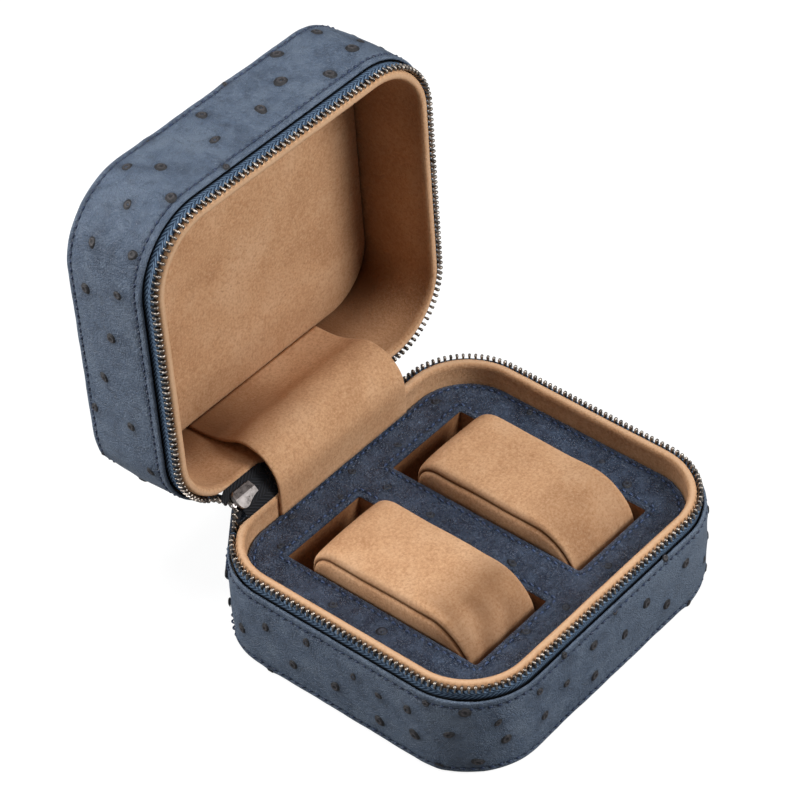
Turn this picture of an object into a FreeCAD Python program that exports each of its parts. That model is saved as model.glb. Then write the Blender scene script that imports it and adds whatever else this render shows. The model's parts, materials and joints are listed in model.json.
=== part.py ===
import FreeCAD
import Part
import Sketcher
import math
import os

# Zip-around travel case for two watches, with its lid standing open.
# Millimetres. +Z is up, the hinge runs along X at the back (+Y) and the front faces -Y.
# The origin is the middle of the underside that the case rests on.
# Lid pieces are drawn where they lie when the case is shut, then swung open about the hinge line.

from FreeCAD import Placement, Rotation, Vector

doc = FreeCAD.newDocument("WatchTravelCase")
sheet = doc.addObject("Spreadsheet::Sheet", "Sizes")

# Driving sizes
SIZES = [
    ("case_width", 134.0, "outer width along X"),
    ("case_depth", 119.5, "outer depth along Y"),
    ("corner_radius", 27.0, "outer radius of the four upright corners"),
    ("base_wall_height", 32.0, "underside to the base's leather lip"),
    ("lid_wall_height", 31.5, "lid's leather lip to its top"),
    ("zip_gap", 10.0, "space between the two lips when shut"),
    ("lid_open_angle", 92.0, "how far the lid stands open, in degrees"),
    ("hinge_offset", 2.5, "hinge line behind the back wall"),
    ("leather_thick", 1.2, "outer leather"),
    ("edge_round", 1.0, "rounding of the outer panels' edges"),
    ("board_thick", 2.0, "stiff board inside the leather"),
    ("welt_height", 1.6, "turned leather lip, upright"),
    ("welt_thick", 1.3, "turned leather lip, across"),
    ("welt_round", 0.5, "rounding of the lip"),
    ("board_drop", 2.0, "board's edge below the lip"),
    ("chain_inset", 2.1, "middle of the zip chain from the outer face"),
    ("tape_thick", 0.7, "zip tape"),
    ("tooth_pitch", 2.5, "from one tooth to the next on the same tape"),
    ("tooth_length", 1.1, "tooth along the chain"),
    ("tooth_depth", 2.2, "tooth through the tape"),
    ("tooth_foot", 2.2, "tooth's foot from the parting plane"),
    ("tooth_reach", 1.2, "tooth's head past the parting plane"),
    ("tooth_taper", 0.4, "tooth's head narrower on each side"),
    ("chain_left_end", 52.0, "chain and tape stop here at the back left"),
    ("chain_right_end", 33.0, "chain and tape stop here at the back right"),
    ("stop_length", 2.0, "stops at the ends of the chain"),
    ("stop_play", 0.3, "gap beside a stop"),
    ("lining_inset", 3.3, "padded lining's outer face from the outer face"),
    ("lining_thick", 3.0, "padded suede lining"),
    ("lining_round", 1.2, "rounding of the padded rim"),
    ("rim_play", 0.3, "rim below the parting plane"),
    ("relief_width", 21.0, "hollow in the rim beside the slider, along X"),
    ("relief_behind", 9.8, "that hollow's reach right of the slider's middle"),
    ("relief_play", 0.3, "that hollow off the turning slider"),
    ("lid_pad_thick", 4.0, "padded panel inside the lid's top"),
    ("lid_pad_round", 1.2, "rounding of that panel"),
    ("insert_height", 28.5, "top of the leather insert over the underside"),
    ("insert_play", 0.2, "insert inside the lining"),
    ("insert_leather_thick", 1.0, "leather on the insert"),
    ("insert_board_thick", 2.2, "board under that leather"),
    ("insert_round", 0.5, "rounding of the insert's edges"),
    ("frame_wall", 2.0, "upright frame under the insert's edge"),
    ("well_width", 35.5, "pillow well along X"),
    ("well_length", 78.0, "pillow well along Y"),
    ("well_gap", 17.0, "leather between the two wells"),
    ("liner_thick", 1.2, "suede-covered card that lines a well"),
    ("liner_play", 0.1, "liner inside the insert's board"),
    ("pillow_width", 33.4, "watch pillow along X"),
    ("pillow_length", 67.0, "watch pillow along Y"),
    ("pillow_top", 38.2, "pillow's crown over the underside"),
    ("pillow_front_play", 2.3, "pillow behind the well's front wall"),
    ("pillow_floor_play", 0.1, "pillow over the liner's floor"),
    ("pillow_back_round", 10.0, "rounded end at the hinge side"),
    ("pillow_front_round", 18.0, "rounded end at the front"),
    ("cheek_thick", 1.5, "sewn side panel of a pillow"),
    ("cheek_drop", 4.8, "side panel's top under the crown"),
    ("cheek_inset", 2.8, "side panel's ends inside the crown's"),
    ("core_wall", 3.0, "padded cover round the core"),
    ("core_play", 0.1, "cover off the core"),
    ("flap_width", 63.5, "inner suede flap along X"),
    ("flap_thick", 1.2, "inner suede flap"),
    ("flap_play", 0.3, "flap off the faces beside it"),
    ("flap_rise", 11.0, "upright stretch of the flap at the base"),
    ("flap_bend", 13.0, "radius of the flap's fold"),
    ("flap_dip", 30.0, "radius where it runs out into the lid"),
    ("spine_width", 61.0, "outer leather hinge along X"),
    ("spine_thick", 1.2, "outer leather hinge"),
    ("spine_lap", 7.0, "hinge leather sewn down on each wall"),
    ("slider_middle", 40.6, "slider's middle left of the case's middle"),
    ("slider_width", 9.4, "slider across its shoulders"),
    ("slider_length", 12.0, "slider from nose to tail"),
    ("slider_tail_width", 6.2, "slider across its tail"),
    ("plate_thick", 0.9, "each plate of the slider"),
    ("channel_play", 0.25, "slider's plates off the teeth"),
    ("flange_thick", 0.7, "slider's guide edges"),
    ("flange_length", 5.2, "slider's guide edges along the chain"),
    ("tape_slot", 1.4, "slot for the tape between the guide edges"),
    ("post_radius", 1.2, "divider between the slider's plates"),
    ("post_setback", 2.0, "divider's middle behind the nose"),
    ("tail_play", 0.5, "first closed tooth behind the divider"),
    ("tail_tape_width", 2.2, "tape on each side of the closed teeth"),
    ("tail_reach", 3.3, "that tape beyond the slider's tail"),
    ("crown_radius", 0.9, "round bar of the slider's bridge"),
    ("crown_gap", 2.0, "space under the bridge"),
    ("crown_span", 5.4, "between the bridge's feet"),
    ("crown_foot", 1.2, "each foot of the bridge"),
    ("ring_radius", 2.9, "pull ring, to the middle of its wire"),
    ("ring_wire", 0.65, "radius of the ring's wire"),
    ("ring_play", 0.1, "ring off the bridge's bar"),
    ("pull_lean", 13.0, "how far the pull hangs to the left, in degrees"),
    ("tab_width", 10.5, "leather pull across"),
    ("tab_length", 31.5, "leather pull, top to bottom"),
    ("tab_thick", 1.8, "leather pull"),
    ("tab_shoulder", 2.6, "eyelet's middle under the pull's top"),
    ("tab_corner", 3.4, "rounding of the pull's lower corners"),
    ("tab_neck", 2.4, "rounding of the pull's upper corners"),
    ("eyelet_hole", 1.25, "eyelet's bore"),
    ("eyelet_wall", 0.6, "eyelet's metal"),
    ("eyelet_proud", 0.25, "eyelet over the leather on each face"),
]

for row, (alias, value, note) in enumerate(SIZES, start=1):
    sheet.set("A%d" % row, alias)
    sheet.set("B%d" % row, str(value))
    sheet.set("C%d" % row, note)
    sheet.setAlias("B%d" % row, alias)


class Size:
    """A length or angle: the expression that the document binds, and the number it gives."""

    def __init__(self, text, value):
        self.text = text
        self.value = value

    def combine(self, other, sign):
        if not isinstance(other, Size):
            other = Size(repr(other), other)
        numbers = {
            "+": self.value + other.value,
            "-": self.value - other.value,
            "*": self.value * other.value,
            "/": self.value / other.value if other.value else 0.0,
        }
        return Size("(%s %s %s)" % (self.text, sign, other.text), numbers[sign])

    def __add__(self, other):
        return self.combine(other, "+")

    def __sub__(self, other):
        return self.combine(other, "-")

    def __mul__(self, other):
        return self.combine(other, "*")

    def __truediv__(self, other):
        return self.combine(other, "/")

    def __neg__(self):
        return Size("(0 - %s)" % self.text, -self.value)


def hypotenuse(a, b):
    return Size("sqrt(pow(%s; 2) + pow(%s; 2))" % (a.text, b.text), math.hypot(a.value, b.value))


ZERO = Size("0", 0.0)
S = {alias: Size("Sizes.%s" % alias, value) for alias, value, note in SIZES}

# Heights that follow from the driving sizes, case shut
parting_height = S["base_wall_height"] + S["zip_gap"] / 2
lid_lip_height = S["base_wall_height"] + S["zip_gap"]
shut_height = lid_lip_height + S["lid_wall_height"]
half_width = S["case_width"] / 2
half_depth = S["case_depth"] / 2
chain_line = half_depth - S["chain_inset"]
hinge_line = half_depth + S["hinge_offset"]
lining_face = S["lining_inset"] + S["lining_thick"]
insert_inset = lining_face + S["insert_play"]
board_inset = S["leather_thick"]
floor_top = S["leather_thick"] + S["board_thick"]
plate_inner = S["tooth_depth"] / 2 + S["channel_play"]
plate_outer = plate_inner + S["plate_thick"]
slider_sweep = hypotenuse(hinge_line - chain_line + plate_outer, S["slider_width"] / 2)

X_AXIS = Vector(1, 0, 0)
LEVEL_TOLERANCE = S["leather_thick"].value / 1000
HINGE_POINT = Vector(0, hinge_line.value, parting_height.value)
finished = []


# Document helpers
def bind(item, path, size):
    item.setExpression(path, size.text)


def swing(item, share):
    """Turn a piece about the hinge line by a share of the lid's opening."""
    item.setExpression(
        "Placement",
        "placement(vector(0; 0; 0); rotation(vector(1; 0; 0); (0 - %s) * %s); vector(0; %s; %s))"
        % (S["lid_open_angle"].text, repr(share), hinge_line.text, parting_height.text),
    )


def swing_placement(share):
    turn = Rotation(X_AXIS, -S["lid_open_angle"].value * share)
    return Placement(Vector(), turn, HINGE_POINT)


def finish(item, label, share=0):
    """Name a finished piece and stand it where its part of the case is."""
    item.Label = label
    if share:
        if item.TypeId == "Part::Feature":
            item.Placement = swing_placement(share)
        else:
            swing(item, share)
    finished.append(item)
    return item


def new_body(name):
    return doc.addObject("PartDesign::Body", name + "_body")


def origin_plane(body, role):
    for feature in body.Origin.OriginFeatures:
        if feature.Role == role:
            return feature
    raise RuntimeError("no plane " + role)


def new_sketch(body, name, height, role="XY_Plane"):
    sketch = body.newObject("Sketcher::SketchObject", name)
    sketch.AttachmentSupport = (origin_plane(body, role), [""])
    sketch.MapMode = "FlatFace"
    bind(sketch, "AttachmentOffset.Base.z", height)
    return sketch


def draw_round_outline(sketch, tag, width, depth, radius):
    """Closed outline of four lines and four quarter arcs about the sketch's origin."""
    w = width.value / 2
    d = depth.value / 2
    r = radius.value
    corners = [(w - r, d - r, 0), (r - w, d - r, 1), (r - w, r - d, 2), (w - r, r - d, 3)]
    first = sketch.GeometryCount
    axis = Vector(0, 0, 1)
    for x, y, quarter in corners:
        start = quarter * math.pi / 2
        circle = Part.Circle(Vector(x, y, 0), axis, r)
        sketch.addGeometry(Part.ArcOfCircle(circle, start, start + math.pi / 2), False)
    for i in range(4):
        here = sketch.Geometry[first + i].EndPoint
        there = sketch.Geometry[first + (i + 1) % 4].StartPoint
        sketch.addGeometry(Part.LineSegment(here, there), False)
    for i in range(4):
        line = first + 4 + i
        sketch.addConstraint(Sketcher.Constraint("Tangent", first + i, 2, line, 1))
        sketch.addConstraint(Sketcher.Constraint("Tangent", line, 2, first + (i + 1) % 4, 1))
    for i in range(1, 4):
        sketch.addConstraint(Sketcher.Constraint("Equal", first, first + i))
    sketch.addConstraint(Sketcher.Constraint("Horizontal", first + 4))
    sketch.addConstraint(Sketcher.Constraint("Vertical", first + 5))
    sketch.addConstraint(Sketcher.Constraint("Symmetric", first, 3, first + 2, 3, -1, 1))
    named_constraint(sketch, Sketcher.Constraint("Radius", first, r), tag + "_radius", radius)
    span_x = Sketcher.Constraint("DistanceX", first + 1, 2, first, 1, 2 * w)
    named_constraint(sketch, span_x, tag + "_width", width)
    span_y = Sketcher.Constraint("DistanceY", first + 3, 1, first, 2, 2 * d)
    named_constraint(sketch, span_y, tag + "_depth", depth)


def named_constraint(sketch, constraint, name, size):
    index = sketch.addConstraint(constraint)
    sketch.renameConstraint(index, name)
    bind(sketch, "Constraints." + name, size)


def draw_rectangle(sketch, tag, low_x, high_x, low_y, high_y):
    """Closed rectangle whose four sides are measured from the sketch's origin."""
    spots = [(low_x, low_y), (high_x, low_y), (high_x, high_y), (low_x, high_y)]
    points = [Vector(x.value, y.value, 0) for x, y in spots]
    first = sketch.GeometryCount
    for i in range(4):
        sketch.addGeometry(Part.LineSegment(points[i], points[(i + 1) % 4]), False)
    for i in range(4):
        sketch.addConstraint(Sketcher.Constraint("Coincident", first + i, 2, first + (i + 1) % 4, 1))
        kind = "Horizontal" if i % 2 == 0 else "Vertical"
        sketch.addConstraint(Sketcher.Constraint(kind, first + i))
    origin = (-1, 1)
    for name, kind, size in (
        ("_low_x", "DistanceX", low_x),
        ("_low_y", "DistanceY", low_y),
    ):
        rule = Sketcher.Constraint(kind, *origin, first, 1, size.value)
        named_constraint(sketch, rule, tag + name, size)
    for name, kind, size in (
        ("_high_x", "DistanceX", high_x),
        ("_high_y", "DistanceY", high_y),
    ):
        rule = Sketcher.Constraint(kind, *origin, first + 2, 1, size.value)
        named_constraint(sketch, rule, tag + name, size)


def draw_circle(sketch, tag, x, y, radius):
    """Circle whose middle is measured from the sketch's origin."""
    circle = Part.Circle(Vector(x.value, y.value, 0), Vector(0, 0, 1), radius.value)
    index = sketch.addGeometry(circle, False)
    for name, kind, size in (("_x", "DistanceX", x), ("_y", "DistanceY", y)):
        rule = Sketcher.Constraint(kind, -1, 1, index, 3, size.value)
        named_constraint(sketch, rule, tag + name, size)
    rule = Sketcher.Constraint("Radius", index, radius.value)
    named_constraint(sketch, rule, tag + "_radius", radius)


def pad(body, sketch, name, length):
    feature = body.newObject("PartDesign::Pad", name)
    feature.Profile = sketch
    bind(feature, "Length", length)
    sketch.Visibility = False
    return feature


def pocket(body, sketch, name, depth=None, upwards=False):
    feature = body.newObject("PartDesign::Pocket", name)
    feature.Profile = sketch
    feature.Reversed = upwards
    if depth is None:
        feature.Type = "ThroughAll"
    else:
        bind(feature, "Length", depth)
    sketch.Visibility = False
    return feature


def level_edges(shape, height):
    """Names of the edges that lie at one height."""
    names = []
    for number, edge in enumerate(shape.Edges, start=1):
        box = edge.BoundBox
        if abs(box.ZMin - height) < LEVEL_TOLERANCE and abs(box.ZMax - height) < LEVEL_TOLERANCE:
            names.append("Edge%d" % number)
    return names


def round_level(body, solid, name, height, radius):
    """Round the edges of a feature that lie at one height."""
    doc.recompute()
    feature = body.newObject("PartDesign::Fillet", name)
    feature.Base = (solid, level_edges(solid.Shape, height.value))
    bind(feature, "Radius", radius)
    return feature


def outline_sizes(inset):
    """Width, depth and corner radius of the case's outline, drawn in by an inset."""
    return (S["case_width"] - inset * 2, S["case_depth"] - inset * 2, S["corner_radius"] - inset)


def slab(name, inset, low, height):
    """A plate or block with the case's outline."""
    body = new_body(name)
    sketch = new_sketch(body, name + "_outline", low)
    draw_round_outline(sketch, "outline", *outline_sizes(inset))
    return body, pad(body, sketch, name + "_pad", height)


def ring(name, outer_inset, inner_inset, low, height):
    """An upright wall that follows the case's outline."""
    body = new_body(name)
    sketch = new_sketch(body, name + "_outline", low)
    draw_round_outline(sketch, "outer", *outline_sizes(outer_inset))
    draw_round_outline(sketch, "inner", *outline_sizes(inner_inset))
    return body, pad(body, sketch, name + "_pad", height)


# The two halves are alike: each has an outer face, and grows from it towards the parting plane
class Half:
    def __init__(self, name, panel_name, face, lip, sign, share):
        self.name = name
        self.panel_name = panel_name
        self.face = face
        self.lip = lip
        self.sign = sign
        self.share = share

    def span(self, near, far):
        """Low end and height of a stretch given from the outer face inwards."""
        if self.sign > 0:
            return self.face + near, far - near
        return self.face - far, far - near

    @property
    def wall(self):
        return S["base_wall_height"] if self.sign > 0 else S["lid_wall_height"]


base = Half("base", "bottom", ZERO, S["base_wall_height"], 1, 0)
lid = Half("lid", "top", shut_height, lid_lip_height, -1, 1)


def leather_panel(half):
    """Outer leather of the underside or the top, with a softly rounded edge."""
    name = "%s_leather_%s" % (half.name, half.panel_name)
    low, height = half.span(ZERO, S["leather_thick"])
    body, plate = slab(name, ZERO, low, height)
    round_level(body, plate, name + "_round", half.face, S["edge_round"])
    finish(body, name, half.share)


def leather_wall(half):
    """Outer leather round the sides."""
    name = half.name + "_leather_wall"
    low, height = half.span(S["leather_thick"], half.wall - S["welt_height"])
    body, wall = ring(name, ZERO, S["leather_thick"], low, height)
    finish(body, name, half.share)


def leather_welt(half):
    """Lip of turned leather at the rim of the wall."""
    name = half.name + "_leather_welt"
    low, height = half.span(half.wall - S["welt_height"], half.wall)
    body, lip = ring(name, ZERO, S["welt_thick"], low, height)
    round_level(body, lip, name + "_round", half.lip, S["welt_round"])
    finish(body, name, half.share)


def board_shell(half):
    """Stiff box of board that the leather is glued to."""
    name = half.name + "_board_shell"
    low, height = half.span(S["leather_thick"], half.wall - S["board_drop"])
    body, block = slab(name, board_inset, low, height)
    depth = height - S["board_thick"]
    rim = half.face + (half.wall - S["board_drop"]) * half.sign
    sketch = new_sketch(body, name + "_hollow", rim)
    draw_round_outline(sketch, "hollow", *outline_sizes(board_inset + S["board_thick"]))
    pocket(body, sketch, name + "_pocket", depth, upwards=half.sign < 0)
    finish(body, name, half.share)


def chain_gap(body, name, level):
    """Cut the tape away where the two chains come together and behind the hinge flap."""
    sketch = new_sketch(body, name + "_gap", level)
    front = half_depth - S["corner_radius"]
    draw_rectangle(sketch, "gap", -S["chain_left_end"], S["chain_right_end"], front, half_depth)
    return sketch


def zip_tape(half):
    """Woven tape that stands up from between the leather and the lining."""
    name = half.name + "_zip_tape"
    far = half.wall + S["zip_gap"] / 2 - S["tooth_foot"]
    low, height = half.span(half.wall - S["board_drop"], far)
    outer = S["chain_inset"] - S["tape_thick"] / 2
    body, tape = ring(name, outer, outer + S["tape_thick"], low, height)
    sketch = chain_gap(body, name, low)
    pocket(body, sketch, name + "_cut", None, upwards=True)
    finish(body, name, half.share)


def lining_wall(half):
    """Padded suede wall with a rounded rim, hollowed outside where the slider turns with the lid."""
    name = half.name + "_lining_wall"
    rim_far = half.wall + S["zip_gap"] / 2 - S["rim_play"]
    low, height = half.span(floor_top, rim_far)
    rim = half.face + rim_far * half.sign
    body, wall = ring(name, S["lining_inset"], lining_face, low, height)
    round_level(body, wall, name + "_round", rim, S["lining_round"])
    right = -S["slider_middle"] + S["relief_behind"]
    sketch = new_sketch(body, name + "_relief", right, "YZ_Plane")
    draw_circle(sketch, "relief", hinge_line, parting_height, slider_sweep + S["relief_play"])
    pocket(body, sketch, name + "_hollow", S["relief_width"])
    finish(body, name, half.share)


def lid_pad():
    """Padded suede panel inside the lid's top."""
    name = "lid_lining_top"
    low, height = lid.span(floor_top, floor_top + S["lid_pad_thick"])
    body, plate = slab(name, lining_face + S["insert_play"], low, height)
    round_level(body, plate, name + "_round", low, S["lid_pad_round"])
    finish(body, name, 1)


for half in (base, lid):
    leather_panel(half)
    leather_wall(half)
    leather_welt(half)
    board_shell(half)
    zip_tape(half)
    lining_wall(half)
lid_pad()

# Insert with the two wells
well_middle = (S["well_gap"] + S["well_width"]) / 2
insert_board_top = S["insert_height"] - S["insert_leather_thick"]
insert_board_low = insert_board_top - S["insert_board_thick"]


def well_holes(body, name, level, margin):
    """Both wells, each grown by a margin all round."""
    for tag, sign in (("left", -1), ("right", 1)):
        sketch = new_sketch(body, "%s_%s_well" % (name, tag), level)
        middle = well_middle * sign
        reach_x = S["well_width"] / 2 + margin
        reach_y = S["well_length"] / 2 + margin
        draw_rectangle(sketch, "well", middle - reach_x, middle + reach_x, -reach_y, reach_y)
        pocket(body, sketch, "%s_%s_cut" % (name, tag))


def insert_pieces():
    """Leather-covered board with two wells, on an upright frame round its edge."""
    body, plate = slab("insert_leather", insert_inset, insert_board_top, S["insert_leather_thick"])
    round_level(body, plate, "insert_leather_round", S["insert_height"], S["insert_round"])
    well_holes(body, "insert_leather", S["insert_height"], ZERO)
    finish(body, "insert_leather")
    body, plate = slab("insert_board", insert_inset, insert_board_low, S["insert_board_thick"])
    well_holes(body, "insert_board", insert_board_top, S["liner_thick"] + S["liner_play"])
    finish(body, "insert_board")
    body, frame = ring(
        "insert_frame",
        insert_inset,
        insert_inset + S["frame_wall"],
        floor_top,
        insert_board_low - floor_top,
    )
    finish(body, "insert_frame")


def well_liner(tag, sign):
    """Open box of suede-covered card that lines one well."""
    name = "well_liner_" + tag
    body = new_body(name)
    middle = well_middle * sign
    reach_x = S["well_width"] / 2
    reach_y = S["well_length"] / 2
    wall = S["liner_thick"]
    sketch = new_sketch(body, name + "_outline", floor_top)
    low_x = middle - reach_x - wall
    high_x = middle + reach_x + wall
    draw_rectangle(sketch, "outline", low_x, high_x, -reach_y - wall, reach_y + wall)
    pad(body, sketch, name + "_pad", insert_board_top - floor_top)
    hollow = new_sketch(body, name + "_hollow", insert_board_top)
    draw_rectangle(hollow, "hollow", middle - reach_x, middle + reach_x, -reach_y, reach_y)
    pocket(body, hollow, name + "_pocket", insert_board_top - floor_top - wall)
    finish(body, name)


insert_pieces()
well_liner("left", -1)
well_liner("right", 1)


# Watch pillows
def pillow_section(x, front, back, low, top, drop, inset):
    """Side outline of a pillow: flat underside, small round at the back, large round in front."""
    y0 = front + inset
    y1 = back - inset
    z1 = top - drop
    r0 = S["pillow_front_round"].value - inset
    r1 = S["pillow_back_round"].value - inset
    slant = math.sin(math.pi / 4)
    spots = {
        "foot_front": (y0, low),
        "foot_back": (y1, low),
        "back": (y1, z1 - r1),
        "back_mid": (y1 - r1 + r1 * slant, z1 - r1 + r1 * slant),
        "top_back": (y1 - r1, z1),
        "top_front": (y0 + r0, z1),
        "front_mid": (y0 + r0 - r0 * slant, z1 - r0 + r0 * slant),
        "front": (y0, z1 - r0),
    }
    p = {key: Vector(x, y, z) for key, (y, z) in spots.items()}
    return Part.Wire(
        [
            Part.LineSegment(p["foot_front"], p["foot_back"]).toShape(),
            Part.LineSegment(p["foot_back"], p["back"]).toShape(),
            Part.Arc(p["back"], p["back_mid"], p["top_back"]).toShape(),
            Part.LineSegment(p["top_back"], p["top_front"]).toShape(),
            Part.Arc(p["top_front"], p["front_mid"], p["front"]).toShape(),
            Part.LineSegment(p["front"], p["foot_front"]).toShape(),
        ]
    )


# How far across from the middle each section of the cover lies, and how much of the
# side panel's drop it has there
PILLOW_CROWN_SHARES = [(-1.0, 1.0), (-0.93, 0.6), (-0.78, 0.27), (-0.45, 0.06), (0.0, 0.0),
                       (0.45, 0.06), (0.78, 0.27), (0.93, 0.6), (1.0, 1.0)]


def pillow(tag, sign):
    """Cover with its crown, two sewn side panels and the firm core that they wrap."""
    middle = well_middle.value * sign
    front = S["pillow_front_play"].value - S["well_length"].value / 2
    back = front + S["pillow_length"].value
    low = (floor_top + S["liner_thick"] + S["pillow_floor_play"]).value
    top = S["pillow_top"].value
    drop = S["cheek_drop"].value
    inset = S["cheek_inset"].value
    reach = S["pillow_width"].value / 2 - S["cheek_thick"].value
    wall = S["core_wall"].value
    sections = []
    for across, share in PILLOW_CROWN_SHARES:
        x = middle + reach * across
        sections.append(pillow_section(x, front, back, low, top, drop * share, inset * share))
    crown = Part.makeLoft(sections, True, True)
    lofts = []
    for skin in (wall, wall - S["core_play"].value):
        ends = []
        for x in (middle - reach + skin, middle + reach - skin):
            ends.append(pillow_section(x, front, back, low, top, drop + skin, inset + skin))
        lofts.append(Part.makeLoft(ends, True, True))
    core, hollow = lofts
    cheeks = []
    for side in (-1, 1):
        inner = middle + reach * side
        outer = inner + S["cheek_thick"].value * side
        pair = [pillow_section(x, front, back, low, top, drop, inset) for x in (inner, outer)]
        cheeks.append(Part.makeLoft(pair, True, True))
    for name, shape in (
        ("pillow_%s_cover" % tag, crown.cut(hollow)),
        ("pillow_%s_core" % tag, core),
        ("pillow_%s_cheeks" % tag, Part.makeCompound(cheeks)),
    ):
        feature = doc.addObject("Part::Feature", name + "_shape")
        feature.Shape = shape
        finish(feature, name)


pillow("left", -1)
pillow("right", 1)


# Zip chain
def chain_spots(offset):
    """Places along the chain, from the back right end round the front to the back left end."""
    width, depth, radius = [size.value for size in outline_sizes(S["chain_inset"])]
    w = width / 2 - radius
    d = depth / 2 - radius
    r = radius
    right_end = S["chain_right_end"].value
    left_turn = math.asin((S["chain_left_end"].value - w) / r)
    quarter = math.pi / 2
    # each stretch: length, start point or arc centre, first direction angle
    runs = [
        ("line", w - right_end, Vector(right_end, d + r, 0), 0.0),
        ("arc", r * quarter, Vector(w, d, 0), quarter),
        ("line", 2 * d, Vector(w + r, d, 0), -quarter),
        ("arc", r * quarter, Vector(w, -d, 0), 0.0),
        ("line", 2 * w, Vector(w, -d - r, 0), -2 * quarter),
        ("arc", r * quarter, Vector(-w, -d, 0), -quarter),
        ("line", 2 * d, Vector(-w - r, -d, 0), quarter),
        ("arc", r * (quarter - left_turn), Vector(-w, d, 0), 2 * quarter),
    ]
    total = sum(run[1] for run in runs)
    pitch = S["tooth_pitch"].value
    count = int((total - S["stop_length"].value) / pitch)
    spots = []
    for i in range(count):
        along = S["stop_length"].value + (i + offset) * pitch
        for kind, length, point, angle in runs:
            if along <= length:
                break
            along -= length
        if kind == "line":
            heading = Vector(math.cos(angle), math.sin(angle), 0)
            spot = point + heading * along
        else:
            turned = angle - along / r
            spot = point + Vector(math.cos(turned), math.sin(turned), 0) * r
            heading = Vector(math.sin(turned), -math.cos(turned), 0)
        spots.append((spot, heading))
    return spots


def tooth(spot, heading, sign):
    """One metal tooth: its foot grips the tape and its tapered head crosses the parting plane."""
    out = Vector(-heading.y, heading.x, 0)
    half_depth_of_tooth = S["tooth_depth"].value / 2
    taper = S["tooth_taper"].value
    foot = S["tooth_foot"].value
    reach = S["tooth_reach"].value
    profile = [
        (-half_depth_of_tooth, -foot),
        (half_depth_of_tooth, -foot),
        (half_depth_of_tooth, reach - taper),
        (half_depth_of_tooth - taper, reach),
        (taper - half_depth_of_tooth, reach),
        (-half_depth_of_tooth, reach - taper),
    ]
    start = spot - heading * (S["tooth_length"].value / 2)
    start.z = parting_height.value
    corners = [start + out * across + Vector(0, 0, up * sign) for across, up in profile]
    face = Part.Face(Part.makePolygon(corners + corners[:1]))
    return face.extrude(heading * S["tooth_length"].value)


TOOTH_OFFSET_SHARES = {"base": 0.25, "lid": 0.75}


def zip_teeth(half):
    name = half.name + "_zip_teeth"
    spots = chain_spots(TOOTH_OFFSET_SHARES[half.name])
    solids = [tooth(spot, heading, half.sign) for spot, heading in spots]
    feature = doc.addObject("Part::Feature", name + "_shape")
    feature.Shape = Part.makeCompound(solids)
    finish(feature, name, half.share)


def top_stop(half):
    """Small metal stop at the end of one chain, hidden behind the flap."""
    name = half.name + "_zip_top_stop"
    far = half.wall + S["zip_gap"] / 2
    low, height = half.span(far - S["tooth_foot"], far - S["stop_play"])
    left = S["chain_right_end"]
    right = left + S["stop_length"] - S["stop_play"]
    front = chain_line - S["tooth_depth"] / 2
    body = new_body(name)
    sketch = new_sketch(body, name + "_outline", low)
    draw_rectangle(sketch, "outline", left, right, front, front + S["tooth_depth"])
    pad(body, sketch, name + "_pad", height)
    finish(body, name, half.share)


for half in (base, lid):
    zip_teeth(half)
    top_stop(half)


# Closed end of the zip: it swings half as far as the lid, so it lies midway between the halves
slider_x = -S["slider_middle"]
slider_nose = slider_x - S["slider_length"] / 2
slider_tail = slider_x + S["slider_length"] / 2
post_x = slider_nose + S["post_setback"]
crown_line = chain_line + plate_outer + S["crown_gap"] + S["crown_radius"]
tail_start = post_x + S["post_radius"] + S["tail_play"]
HALFWAY_SHARE = 0.5


def zip_tail():
    """The last teeth, meshed inside the slider, their tape and the stop behind them."""
    half_pitch = S["tooth_pitch"].value / 2
    room = (slider_tail - tail_start).value
    solids = []
    for i in range(int(room / half_pitch)):
        x = tail_start.value + S["tooth_length"].value / 2 + i * half_pitch
        sign = 1 if i % 2 == 0 else -1
        solids.append(tooth(Vector(x, chain_line.value, 0), X_AXIS, sign))
    feature = doc.addObject("Part::Feature", "zip_tail_teeth_shape")
    feature.Shape = Part.makeCompound(solids)
    finish(feature, "zip_tail_teeth", HALFWAY_SHARE)
    for tag, sign in (("lower", -1), ("upper", 1)):
        name = "zip_tail_tape_" + tag
        body = new_body(name)
        near = parting_height + S["tooth_foot"] * sign
        low = near if sign > 0 else near - S["tail_tape_width"]
        sketch = new_sketch(body, name + "_outline", low)
        front = chain_line - S["tape_thick"] / 2
        end = slider_tail + S["tail_reach"]
        draw_rectangle(sketch, "outline", tail_start, end, front, front + S["tape_thick"])
        pad(body, sketch, name + "_pad", S["tail_tape_width"])
        finish(body, name, HALFWAY_SHARE)
    body = new_body("zip_bottom_stop")
    height = S["tooth_foot"] * 2
    sketch = new_sketch(body, "zip_bottom_stop_outline", parting_height - S["tooth_foot"])
    left = slider_tail + S["stop_play"]
    front = chain_line - S["tooth_depth"] / 2
    draw_rectangle(sketch, "outline", left, left + S["stop_length"], front, front + S["tooth_depth"])
    pad(body, sketch, "zip_bottom_stop_pad", height)
    finish(body, "zip_bottom_stop", HALFWAY_SHARE)


def place(item, x, y, z, turn="0"):
    """Stand a primitive at a point, turned about X."""
    item.setExpression(
        "Placement",
        "placement(vector(%s; %s; %s); rotation(vector(1; 0; 0); %s))" % (x.text, y.text, z.text, turn),
    )


def block(name, low, size):
    item = doc.addObject("Part::Box", name)
    for side, length in zip(("Length", "Width", "Height"), size):
        bind(item, side, length)
    place(item, *low)
    return item


def disc(name, x, y, z, radius, thick):
    """Round disc whose axis runs along +Y from a point."""
    item = doc.addObject("Part::Cylinder", name)
    bind(item, "Radius", radius)
    bind(item, "Height", thick)
    place(item, x, y, z, "(0 - 90)")
    return item


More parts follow.
